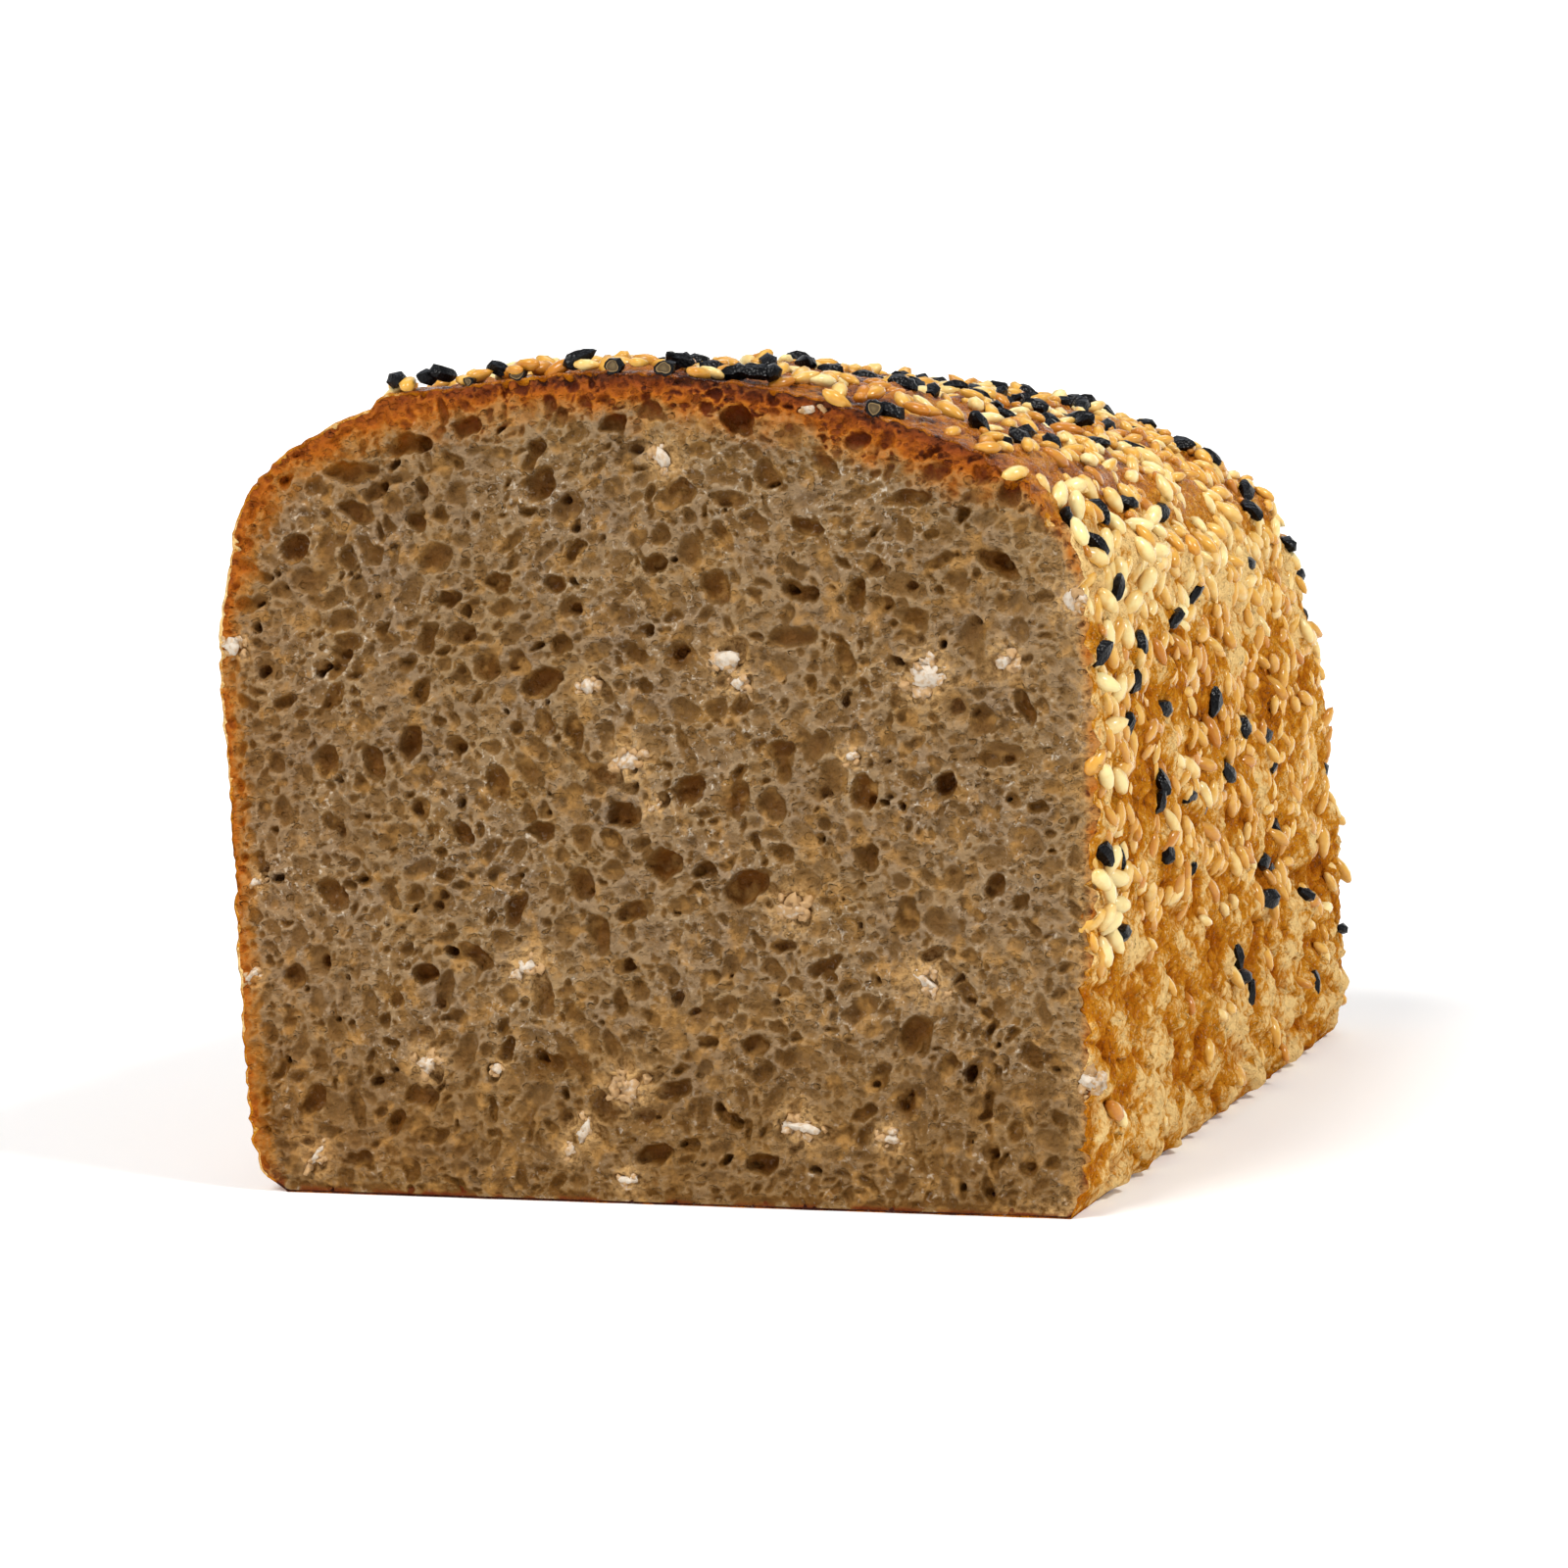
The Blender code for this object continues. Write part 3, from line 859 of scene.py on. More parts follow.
        # Painted shade: the browned band's pores darker, less where it is warm.
        pores = shader.product(shader.spread(level, self.rim_pore_shade_by_level),
                               shader.spread(warm, self.pores_by_warmth))
        colour = shader.mix(pores, colour, self.rim_pore_shade, Blend.MULTIPLY)
        # Painted highlight on the cells' rims in the browned band.
        colour = shader.mix(shader.spread(edge, self.rim_highlight_share), colour, self.rim_edge_highlight)
        return shader.mix(shader.spread(burnt, self.rim_share), bare, colour)

    def material(self) -> bpy.types.Material:
        """Build it: the tone mark paints shade into the cells and the depth mark deeper, warm shade into
        the deep ones; the rise mark paints highlights on their rims, the rim mark browns, and noise
        gives bran, starch specks with painted glints, and tiny pores with painted shade.

        Returns:
            The material.
        """
        shader = Shader("crumb")
        tone, depth, rise = (shader.mark(name) for name in ("tone", "depth", "rise"))
        cloud = shader.noise(7.0, detail=3.0)
        torn = shader.noise(15.0, detail=2.0)
        grain = shader.noise(0.8, detail=4.0, rough=0.65)
        fine = shader.noise(0.28, detail=2.0)
        open_share = shader.spread(tone, self.open_by_tone)
        small = shader.product(self.pits(shader, 1.2, 0.35), open_share)
        tiny = shader.product(self.pits(shader, 0.6, 0.18), open_share)
        level = shader.total(tone, shader.spread(small, self.small_pit_shade),
                             shader.spread(tiny, self.tiny_pit_shade), shader.spread(grain, self.grain_sway))
        # Painted shade: the tone mark and the shader's pits darken the walls to the cell and cup colours
        # inside the cells.
        colour = shader.ramp(level, (0.04, self.wall), (0.40, self.cell), (0.90, self.cup_shade))
        # Painted shade: the deeper the hole, the more of the hole colour.
        colour = shader.mix(shader.spread(depth, self.hole_shade_by_depth), colour, self.hole)
        # Painted highlight: paler where the rise mark says a cell's rim stands up, less inside the
        # cells, in torn patches.
        edge = shader.reckon("Math", "SUBTRACT", shader.spread(rise, self.highlight_by_rise),
                             shader.spread(level, self.highlight_by_level))
        edge = shader.product(edge, shader.spread(torn, self.highlight_patches))
        colour = shader.mix(shader.spread(edge, Span(0.0, 1.0)), colour, self.edge)
        hue = shader.ramp(cloud, (0.32, self.cool), (0.68, self.mild))
        colour = shader.mix(1.0, colour, hue, Blend.MULTIPLY)
        bran = shader.spread(shader.noise(2.4, detail=2.0, rough=0.5), self.bran_specks)
        colour = shader.mix(bran, colour, self.bran)
        # Starch specks, which also serve as painted glints, in torn patches outside the cells.
        specks = shader.spread(shader.noise(0.7, detail=2.0, warp=0.6), self.starch_specks)
        starch_and_glint = shader.product(specks, open_share, shader.spread(torn, self.starch_patches))
        colour = shader.mix(starch_and_glint, colour, self.starch_and_glint)
        crumbs = shader.product(shader.mark("grain"), shader.spread(grain, self.grain_crumbs))
        colour = shader.mix(shader.spread(crumbs, self.grain_share), colour, self.tan)
        warm_share = shader.spread(shader.mark("warm"), self.warm_share)
        colour = shader.mix(warm_share, colour, self.warm, Blend.MULTIPLY)
        colour = self.browned(shader, colour, level, edge)
        relief = shader.bump(small, -0.45, 0.9, shader.bump(tiny, -0.22, 0.9))
        relief = shader.bump(grain, 0.42, 0.8, shader.bump(fine, 0.15, 0.7, relief))
        shader.set(Base_Color=colour, Roughness=0.5, Normal=relief, Specular_IOR_Level=0.10)
        return shader.material


@dataclass(frozen=True)
class SesameFinish:
    """Hulled sesame: cream to golden and toasted, waxy."""

    cream: Colour = (0.84, 0.69, 0.32)
    golden: Colour = (0.70, 0.38, 0.060)
    toasted: Colour = (0.52, 0.190, 0.018)
    cloud_size: float = 1.2
    cloud_sway: Span = Span(0.3, 0.7, -0.12, 0.12)

    def material(self) -> bpy.types.Material:
        """Build it: the toast mark, darker at a seed's edge and tips by toasting and painted shade,
        picks the colour.

        Returns:
            The material.
        """
        shader = Shader("sesame")
        cloud = shader.noise(self.cloud_size, detail=2.0)
        level = shader.total(shader.mark("toast"), shader.spread(cloud, self.cloud_sway))
        colour = shader.ramp(level, (0.1, self.cream), (0.5, self.golden), (0.95, self.toasted))
        shader.set(Base_Color=colour, Roughness=0.22, Specular_IOR_Level=0.42,
                   Normal=shader.bump(cloud, 0.05, 0.5))
        return shader.material


@dataclass(frozen=True)
class BlackCuminFinish:
    """Black cumin: a wrinkled blue-black hull; where the knife went through, a pale ring inside."""

    hull: Colour = (0.0015, 0.0015, 0.002)
    # ridge: a painted sheen on the wrinkles' ridges
    ridge: Colour = (0.006, 0.006, 0.007)
    ring: Colour = (0.30, 0.20, 0.085)
    core: Colour = (0.095, 0.062, 0.028)
    middle: Colour = (0.16, 0.11, 0.05)
    wrinkle_size: float = 0.35
    inside_share: Span = Span(0.02, 0.10)

    def material(self) -> bpy.types.Material:
        """Build it: fine wrinkles with a painted sheen on their ridges; the inside mark picks the cut's
        rings.

        Returns:
            The material.
        """
        shader = Shader("black_cumin")
        wrinkle, _ = shader.cells(self.wrinkle_size)
        inside = shader.mark("inside")
        # Painted sheen: the wrinkles' ridges paler and bluer than the hull.
        hull = shader.ramp(wrinkle, (0.25, self.ridge), (0.6, self.hull))
        rings = shader.ramp(inside, (0.12, self.hull), (0.24, self.ring), (0.42, self.core),
                            (0.75, self.core), (1.0, self.middle))
        colour = shader.mix(shader.spread(inside, self.inside_share), hull, rings)
        shader.set(Base_Color=colour, Roughness=0.30, Specular_IOR_Level=0.16,
                   Normal=shader.bump(wrinkle, 0.10, 0.8))
        return shader.material


@dataclass(frozen=True)
class FlakeFinish:
    """Cracked grain in the crumb: chalky white to pinkish."""

    chalk: Colour = (0.58, 0.50, 0.40)
    husk: Colour = (0.44, 0.26, 0.11)
    cloud_size: float = 0.6
    cloud_sway: Span = Span(0.35, 0.65, -0.25, 0.5)

    def material(self) -> bpy.types.Material:
        """Build it: chalky, and browner where the husk mark and the clouds say so.

        Returns:
            The material.
        """
        shader = Shader("grain_flake")
        cloud = shader.noise(self.cloud_size, detail=3.0)
        level = shader.total(shader.mark("husk"), shader.spread(cloud, self.cloud_sway))
        colour = shader.ramp(level, (0.2, self.chalk), (0.9, self.husk))
        shader.set(Base_Color=colour, Roughness=0.55, Specular_IOR_Level=0.4,
                   Normal=shader.bump(cloud, 0.15, 0.7))
        return shader.material


# ---- crust ----


@dataclass
class Crust:
    """The baked skin: a closed shell with a shallow pocket for the crumb, sized in millimetres."""

    form: LoafForm
    over: int = 440
    base: int = 34
    along: int = 130
    turn: int = 40
    wall: int = 34
    lip: float = 0.8
    lip_depth: float = 0.6
    half_depth: float = 0.12
    pocket_inset: Pair = (2.6, 0.6)
    pocket_near: float = 2.2
    pocket: float = 9.0
    pocket_middle: float = 45.0
    calm_end: float = 14.0
    calm_cut: float = 9.0
    right_side: Pair = (36.0, 46.0)
    dome_facing: Pair = (0.30, 0.85)
    grain_depth: float = 0.18
    lump_depth: float = 0.32
    blister_depth: float = 0.45
    crease_depth: float = 0.42
    furrow_depth: float = 0.8
    bare_height: float = 27.0
    drawn_out: Triple = (1.0, 1.35, 1.0)
    wall_bake: float = 0.31
    dome_bake: float = 0.70
    seam_width: float = 6.0
    seam_pale: float = 0.42
    scorch_dark: float = 0.26
    scorch_place: Pair = (50.0, 58.0)
    scorch_size: Pair = (16.0, 6.5)
    full_stand: float = 0.6
    skin: Array = field(init=False)
    normals: Array = field(init=False)

    def fine_relief(self, points: Array) -> Array:
        """Grain, blisters and furrows, as a height in millimetres over the soft form.

        Grain is two layers of wave noise. Blisters are domes 1 - 1.7 d^2 over two sizes of cells.
        Creases and, near the foot, furrows lie where wave noise crosses 0. All of it is drawn out
        along the loaf.

        Args:
            points: Places on the skin.

        Returns:
            The height for each place.
        """
        grain = WaveNoise(11, 2.2, stretch=self.drawn_out)(points)
        lump = WaveNoise(15, 6.5, stretch=self.drawn_out)(points)
        near = CellNoise(13, 3.1, self.drawn_out)(points)
        small = CellNoise(16, 1.9, self.drawn_out)(points)
        blister = (np.clip(1.0 - 1.7 * near**2, 0.0, 1.0)
                   + 0.5 * np.clip(1.0 - 1.7 * small**2, 0.0, 1.0))
        low = 1.0 - between(self.bare_height - 6.0, self.bare_height + 8.0, points[..., 2])
        furrow = np.abs(WaveNoise(14, 7.0, stretch=(1.0, 1.8, 1.2))(points))
        crease = np.abs(WaveNoise(17, 4.2, stretch=(1.0, 1.7, 1.0))(points))
        return (self.grain_depth * grain + self.lump_depth * lump + self.blister_depth * (blister - 0.6)
                - self.crease_depth * (np.clip(1.0 - 2.2 * crease, 0.0, 1.0) - 0.2)
                - self.furrow_depth * low * np.clip(1.0 - 2.6 * furrow, 0.0, 1.0))

    def bake(self, points: Array, normals: Array) -> Array:
        """How dark the crust is baked, from 0 for pale gold to 1 for near black.

        The dome is darkest where it faces up; the walls are golden, paler towards the foot, and
        the seam at the tin's rim is pale. Clouds of noise and one scorched patch break it up.

        Args:
            points: Places on the skin.
            normals: Outward normals there.

        Returns:
            The bake for each place.
        """
        x, y, z = points[..., 0], points[..., 1], points[..., 2]
        up = between(*self.dome_facing, normals[..., 2])
        wall = self.wall_bake + 0.08 * WaveNoise(21, 24.0)(points) + 0.06 * WaveNoise(22, 9.0)(points)
        wall = wall - 0.13 * (1.0 - between(6.0, 34.0, z)) + 0.12 * between(-40.0, -50.0, x)
        seam_line = self.form.rim_height + 0.5 - 0.07 * np.minimum(y, 90.0)
        seam_line = seam_line + 1.6 * WaveNoise(25, 11.0)(points)
        seam = np.exp(-((z - seam_line) / self.seam_width) ** 2)
        seam = seam * (1.0 - up) * between(30.0, 46.0, np.abs(x))
        dome = self.dome_bake + 0.08 * WaveNoise(23, 12.0)(points) - 0.22 * between(-24.0, -38.0, x)
        dome = dome + 0.12 * between(80.0, 40.0, y) * between(-10.0, 10.0, x)
        dome = dome - 0.17 * between(14.0, 36.0, x)
        (scorch_y, scorch_z), (long, high) = self.scorch_place, self.scorch_size
        scorch = np.exp(-(((y - scorch_y) / long) ** 2 + ((z - scorch_z) / high) ** 2))
        scorch = self.scorch_dark * scorch * between(30.0, 48.0, x)
        under = 0.5 * between(-0.6, -0.95, normals[..., 2])
        level = wall * (1.0 - up) + dome * up - self.seam_pale * seam + scorch + 0.8 * under
        return np.clip(level, 0.0, 1.0)

    def soft_skin(self) -> tuple[Array, Array]:
        """The skin with the dough's soft relief, which stands out from the outline's middle.

        Returns:
            The rings of points, and the bare form's outward normals.
        """
        skin, turned = self.form.skin(self.over, self.base, self.along, self.turn, self.wall)
        radial = unit(skin[:, :, (0, 2)] - np.array(self.form.end_middle))
        normals = grid_normals(skin)
        soft = self.form.soft_relief(skin)
        last_wall = self.along + self.turn + 1
        soft[last_wall:] *= np.linspace(0.7, 0.1, len(skin) - last_wall)[:, None]
        skin[..., 0] += radial[..., 0] * soft * np.cos(turned)[:, None]
        skin[..., 1] += soft * np.sin(turned)[:, None]
        skin[..., 2] += radial[..., 1] * soft * np.cos(turned)[:, None]
        return skin, normals

    def roughen(self, skin: Array, normals: Array) -> Array:
        """Lay the fine relief on the skin and keep its bottom flat.

        The relief fades out at the bottom, at the end wall's middle and, but for the right side,
        at the cut.

        Args:
            skin: The rings of points, which are moved.
            normals: Outward normals there.

        Returns:
            The relief's height for each point.
        """
        fine = np.maximum(self.fine_relief(skin), -0.5 - 0.10 * skin[..., 1])
        last_wall = self.along + self.turn + 1
        off_middle = skin[last_wall:, :, (0, 2)] - np.array(self.form.end_middle)
        fine[last_wall:] *= between(0.0, self.calm_end, np.linalg.norm(off_middle, axis=-1))
        right = between(*self.right_side, skin[..., 0])
        near_cut = ((0.7 * right + 0.2) * between(self.calm_cut, 0.0, skin[..., 1])
                    + between(0.0, self.calm_cut, skin[..., 1]))
        skin += normals * (fine * between(0.0, 2.5, skin[..., 2]) * near_cut)[..., None]
        on_base = np.zeros(self.over + self.base, dtype=bool)
        on_base[self.over:] = True
        on_base[0] = True
        skin[: self.along + 1, on_base, 2] = 0.0
        skin[..., 2] = np.maximum(skin[..., 2], 0.0)
        return fine

    def lip_rings(self, clean: Array, edge: Array, outward: Array) -> Array:
        """Rings from the pocket's bottom forward along its wall, over the lip, to the ragged edge.

        Args:
            clean: The outline at the cut, without the fine relief.
            edge: The outline with it.
            outward: Outward normals there.

        Returns:
            Four rings, then the edge itself.
        """
        wander = 0.28 * WaveNoise(32, 2.4)(edge) + 0.16 * WaveNoise(33, 1.1)(edge)
        wander = wander * between(1.0, 5.0, edge[:, 2])
        right = between(*self.right_side, clean[:, 0])
        edge = edge + outward * (wander * (0.35 + 1.15 * right))[:, None]
        edge[:, 1] = 0.15 + 0.08 * WaveNoise(31, 3.0)(edge)
        inward = -outward * np.array([1.0, 0.0, 1.0])
        lip = edge + inward * self.lip
        lip[:, 1] = self.lip_depth
        half = 0.7 * edge + 0.3 * lip
        half[:, 1] = self.half_depth
        near = clean + inward * self.pocket_inset[0]
        near[:, 1] = self.pocket_near
        bottom = near + inward * self.pocket_inset[1]
        bottom[:, 1] = self.pocket
        return np.stack([bottom, near, lip, half, edge])

    def build(self) -> Piece:
        """Make the shell.

        Rings run from the pocket's bottom over the lip at the cut, then back over the skin to the
        end wall's middle. Both ends close in a fan.

        Returns:
            The finished piece.
        """
        skin, normals = self.soft_skin()
        clean = skin[0].copy()
        fine = self.roughen(skin, normals)
        front = self.lip_rings(clean, skin[0], normals[0])
        skin[0] = front[-1]
        rings = np.concatenate([front[:-1], skin])
        count, columns = rings.shape[:2]
        end_x, end_z = self.form.end_middle
        middles = [[0.0, self.pocket, self.pocket_middle],
                   [end_x, self.form.length + self.form.end_bulge, end_z]]
        points = np.concatenate([rings.reshape(-1, 3), middles])
        piece = Piece("crust", self.form.placed(points), closed_faces(count, columns))

        x, z = skin[0, :, 0], skin[0, :, 2]
        bake = self.bake(skin, normals)
        lip_bake = bake[0] - 0.16 * between(-6.0, -30.0, x) * between(0.0, 4.0, z)
        lip_bake = lip_bake + 0.75 * between(1.4, 0.2, z)
        # The stand mark: how far the fine relief stands out, for the painted shade in pits and the paler
        # crests.
        stand = np.clip(fine / self.full_stand, -1.0, 1.0)
        glaze = between(*self.dome_facing, normals[..., 2])
        for name, at_lip, values, at_middle in (
                ("bake", lip_bake, bake, 0.4), ("stand", stand[0], stand, 0.0),
                ("glaze", np.zeros(columns), glaze, 0.0)):
            piece.mark(name, np.concatenate([np.tile(at_lip, len(front) - 1), values.ravel(),
                                             np.full(2, at_middle)]))
        self.skin = skin
        self.normals = grid_normals(skin)
        return piece

    def find(self, wanted: tuple[Pair, ...], axes: tuple[int, int],
             past: float) -> tuple[Array, Array, Array]:
        """The skin's points nearest to places that are given by two of their three numbers.

        Args:
            wanted: Pairs of numbers in millimetres.
            axes: Which two of x, y and z they are.
            past: Only points whose third number is over this count.

        Returns:
            The points, the outward normals and the way over the dome there.
        """
        flat = self.skin.reshape(-1, 3)
        third = 3 - sum(axes)
        out_of_reach = 50.0
        gap = np.linalg.norm(flat[None][..., list(axes)] - np.array(wanted)[:, None, :], axis=-1)
        nearest = (gap + out_of_reach * (flat[None, :, third] < past)).argmin(axis=1)
        over = unit(np.gradient(self.skin, axis=1)).reshape(-1, 3)
        return flat[nearest], self.normals.reshape(-1, 3)[nearest], over[nearest]

    def cut_edge(self, count: int) -> Array:
        """The skin's edge at the cut, over the dome.

        Args:
            count: How many even steps to take along it.

        Returns:
            The (x, z) places, shape (count + 1, 2).
        """
        edge = self.skin[0, : self.over + 1][:, (0, 2)]
        at = np.linspace(0.0, self.over, count + 1)
        return joined(*(np.interp(at, np.arange(self.over + 1), edge[:, axis]) for axis in (0, 1)))


# ---- crumb ----


@dataclass(frozen=True)
class Hole:
    """One of the crumb's largest holes, in millimetres: its middle, size and tilt in degrees."""

    x: float
    z: float
    width: float
    height: float
    tilt: float
    depth: float = 2.6


@dataclass(frozen=True)
class BubbleLayer:
    """Air bubbles of one size: half sizes, the wall between them, depth in sizes and the darkness of
    their painted shade.
    """

    low: float
    high: float
    tries: int
    wall: float
    shallow: float
    deep: float
    faint: float = 0.25
    merging: float = 0.03


@dataclass(frozen=True)
class BackLayer:
    """Bubbles behind the cut face, seen through the ones in front: half sizes and middles' depths."""

    low: float
    high: float
    count: int
    near: float
    far: float


@dataclass
class Crumb:
    """The cut face: closed slabs whose front is a field of cut bubbles, sized in millimetres."""

    form: LoafForm
    crust: Crust
    raster: float = 0.14
    step: float = 0.2
    inset: float = 0.28
    back: float = 8.5
    deepest: float = 3.8
    face_x: Pair = (-55.0, 55.0)
    face_z: Pair = (-1.0, 98.0)
    half_width: float = 53.0
    half_height: float = 49.0
    middle_z: float = 46.0
    heart_z: float = 45.0
    wall_inset: float = 1.6
    box_power: float = 2.3
    wall_power: float = 0.42
    rise_rounds: int = 8
    outline_steps: int = 1200
    lowest: float = 0.3
    grid_width: float = 104.0
    grid_height: float = 96.0
    seed: int = 5
    layer_names: tuple[str, ...] = ("crumb_lower", "crumb_middle", "crumb_upper")
    holes: tuple[Hole, ...] = (
        Hole(11.8, 37.4, 5.6, 3.8, 28.0, 4.5), Hole(6.8, 39.3, 3.0, 2.2, 20.0),
        Hole(1.9, 39.9, 4.2, 3.6, 20.0, 4.2), Hole(5.3, 48.8, 4.4, 3.4, 33.0, 3.6),
        Hole(-2.9, 45.6, 4.0, 3.0, 0.0, 3.2), Hole(-5.1, 50.4, 5.0, 2.2, -20.0),
        Hole(-12.6, 61.0, 5.6, 3.2, 29.0, 3.6), Hole(-35.5, 85.6, 7.5, 2.4, 0.0, 2.8),
        Hole(-28.1, 88.7, 6.0, 2.4, 8.0, 3.0), Hole(-34.9, 80.9, 4.5, 2.3, -16.0),
        Hole(-43.0, 76.7, 3.6, 3.4, 40.0, 3.2), Hole(-21.1, 90.8, 3.6, 2.4, 20.0),
        Hole(12.1, 91.2, 4.6, 3.4, -20.0, 3.6), Hole(-3.0, 91.0, 3.4, 2.4, 0.0),
        Hole(-12.4, 88.3, 3.0, 2.4, 30.0), Hole(-27.6, 79.8, 3.2, 2.2, -20.0),
        Hole(-17.8, 72.6, 3.6, 2.5, -11.0), Hole(-23.7, 70.8, 3.2, 2.0, 15.0),
        Hole(-10.8, 72.6, 3.0, 2.0, 0.0), Hole(1.7, 74.6, 3.4, 2.2, 20.0),
        Hole(-29.2, 53.9, 4.4, 3.0, 62.0, 3.4), Hole(-33.8, 51.6, 4.2, 2.4, -83.0),
        Hole(-18.4, 49.3, 4.6, 3.0, -80.0, 2.0), Hole(4.8, 83.4, 3.6, 2.1, 10.0),
        Hole(20.2, 78.9, 4.6, 1.9, -20.0), Hole(32.4, 82.1, 4.5, 2.1, 0.0),
        Hole(42.6, 74.6, 5.2, 2.6, -31.0, 3.0), Hole(19.9, 71.4, 3.5, 2.0, 3.0),
        Hole(32.6, 68.6, 3.4, 2.4, 0.0, 1.6), Hole(26.2, 48.6, 4.4, 3.2, -88.0, 3.0),
        Hole(35.9, 49.4, 3.4, 2.8, 52.0), Hole(31.2, 34.3, 4.2, 3.2, -80.0, 1.8),
        Hole(-16.6, 34.6, 4.7, 2.3, 68.0, 2.8), Hole(-21.6, 28.7, 5.0, 2.4, -32.0, 3.2),
        Hole(-28.0, 26.6, 3.4, 2.6, 9.0, 4.0), Hole(-2.2, 34.2, 3.6, 2.4, 20.0),
        Hole(21.1, 28.4, 4.5, 1.9, 30.0), Hole(16.1, 30.6, 3.0, 1.8, 10.0),
        Hole(34.0, 29.9, 3.0, 1.9, 20.0), Hole(41.4, 37.9, 3.3, 2.5, 67.0),
        Hole(-29.1, 12.0, 4.6, 2.8, -22.0, 2.2), Hole(-42.9, 11.0, 4.6, 2.4, 50.0, 2.8),
        Hole(-32.3, 8.8, 3.3, 2.1, 59.0), Hole(12.4, 19.1, 3.7, 2.6, 18.0),
        Hole(6.7, 19.0, 2.8, 2.0, 0.0), Hole(2.3, 13.5, 4.9, 2.0, 14.0),
        Hole(13.0, 5.2, 4.0, 2.4, -6.0, 3.4), Hole(-0.2, 5.8, 4.3, 2.4, 7.0, 3.2),
        Hole(45.4, 58.4, 4.6, 1.8, -62.0), Hole(16.6, 53.3, 3.7, 2.4, 2.0),
        Hole(-22.9, 43.1, 3.6, 1.9, -53.0), Hole(-13.1, 43.6, 3.2, 2.2, 10.0),
    )
    layers: tuple[BubbleLayer, ...] = (
        BubbleLayer(1.20, 2.00, 2600, 0.42, 0.34, 0.90, 0.22),
        BubbleLayer(0.80, 1.25, 10000, 0.30, 0.38, 1.10, 0.24),
        BubbleLayer(0.48, 0.80, 22000, 0.22, 0.46, 1.30, 0.28),
        BubbleLayer(0.26, 0.46, 32000, 0.17, 0.65, 1.50, 0.36),
    )
    back_layers: tuple[BackLayer, ...] = (
        BackLayer(0.5, 0.9, 360, 0.9, 1.5),
        BackLayer(0.8, 1.3, 220, 1.8, 2.8),
    )

    def lay_raster(self) -> None:
        """Lay the raster on which the holes are carved, with its bent places and the crumb's run.

        The run of the crumb follows lines of equal s, where s is the cube root of outwards and so
        1 on the outline; clouds of noise bend the lines towards the middle.
        """
        self.xs = np.arange(*self.face_x, self.raster)
        self.zs = np.arange(*self.face_z, self.raster)
        x, z = np.meshgrid(self.xs, self.zs)
        flat = joined(x, 0.0, z)
        bend_x = 0.15 * WaveNoise(41, 3.4)(flat) + 0.08 * WaveNoise(42, 1.5)(flat)
        bend_z = 0.15 * WaveNoise(43, 3.4)(flat) + 0.08 * WaveNoise(44, 1.5)(flat)
        self.x = x + bend_x + 0.03 * WaveNoise(48, 0.7)(flat)
        self.z = z + bend_z + 0.03 * WaveNoise(49, 0.7)(flat)
        stream = self.outwards(x, z) ** (1.0 / 3.0)
        stream = stream + 0.12 * WaveNoise(45, 34.0)(flat) + 0.03 * WaveNoise(46, 13.0)(flat)
        slope_z, slope_x = np.gradient(stream)
        self.run = np.arctan2(-slope_x, slope_z)
        self.crowd = WaveNoise(47, 14.0)(flat)

    def outwards(self, x: Array, z: Array) -> Array:
        """How far out each place lies, 0 in the middle and 1 on the outline: |x / a|^3 + |z' / b|^3."""
        return (np.abs(x / self.half_width) ** 3
                + np.abs((z - self.middle_z) / self.half_height) ** 3)

    def rim_distance(self, x: Array, z: Array) -> Array:
        """Distance from each place on the face to the loaf's outline, worked out on a 1 mm raster.

        Args:
            x: Places across.
            z: Heights.

        Returns:
            The distance in millimetres.
        """
        ring = self.form.closed_outline(self.form.cut_outline, over=300, base=90)
        after = np.roll(ring, -1, axis=0)
        coarse_x = np.arange(-56.0, 56.1, 1.0)
        coarse_z = np.arange(-2.0, 99.1, 1.0)
        spots = joined(*np.meshgrid(coarse_x, coarse_z)).reshape(-1, 1, 2)
        side = after - ring
        share = np.clip(((spots - ring) * side).sum(-1) / (side * side).sum(-1), 0.0, 1.0)
        gap = np.linalg.norm(spots - ring - share[..., None] * side, axis=-1).min(axis=1)
        return self.read(gap.reshape(len(coarse_z), len(coarse_x)), x, z, coarse_x, coarse_z)

    @staticmethod
    def read(values: Array, x: Array, z: Array, xs: Array, zs: Array) -> Array:
        """Read a raster between its places, evenly from the four round each.

        Args:
            values: The raster, with rows for z and columns for x.
            x: Places across.
            z: Heights.
            xs: The columns' places.
            zs: The rows' places.

        Returns:
            The values there.
        """
        u = np.clip((x - xs[0]) / (xs[1] - xs[0]), 0.0, len(xs) - 1.001)
        v = np.clip((z - zs[0]) / (zs[1] - zs[0]), 0.0, len(zs) - 1.001)
        i, j = u.astype(int), v.astype(int)
        s, t = u - i, v - j
        return ((values[j, i] * (1 - s) + values[j, i + 1] * s) * (1 - t)
                + (values[j + 1, i] * (1 - s) + values[j + 1, i + 1] * s) * t)

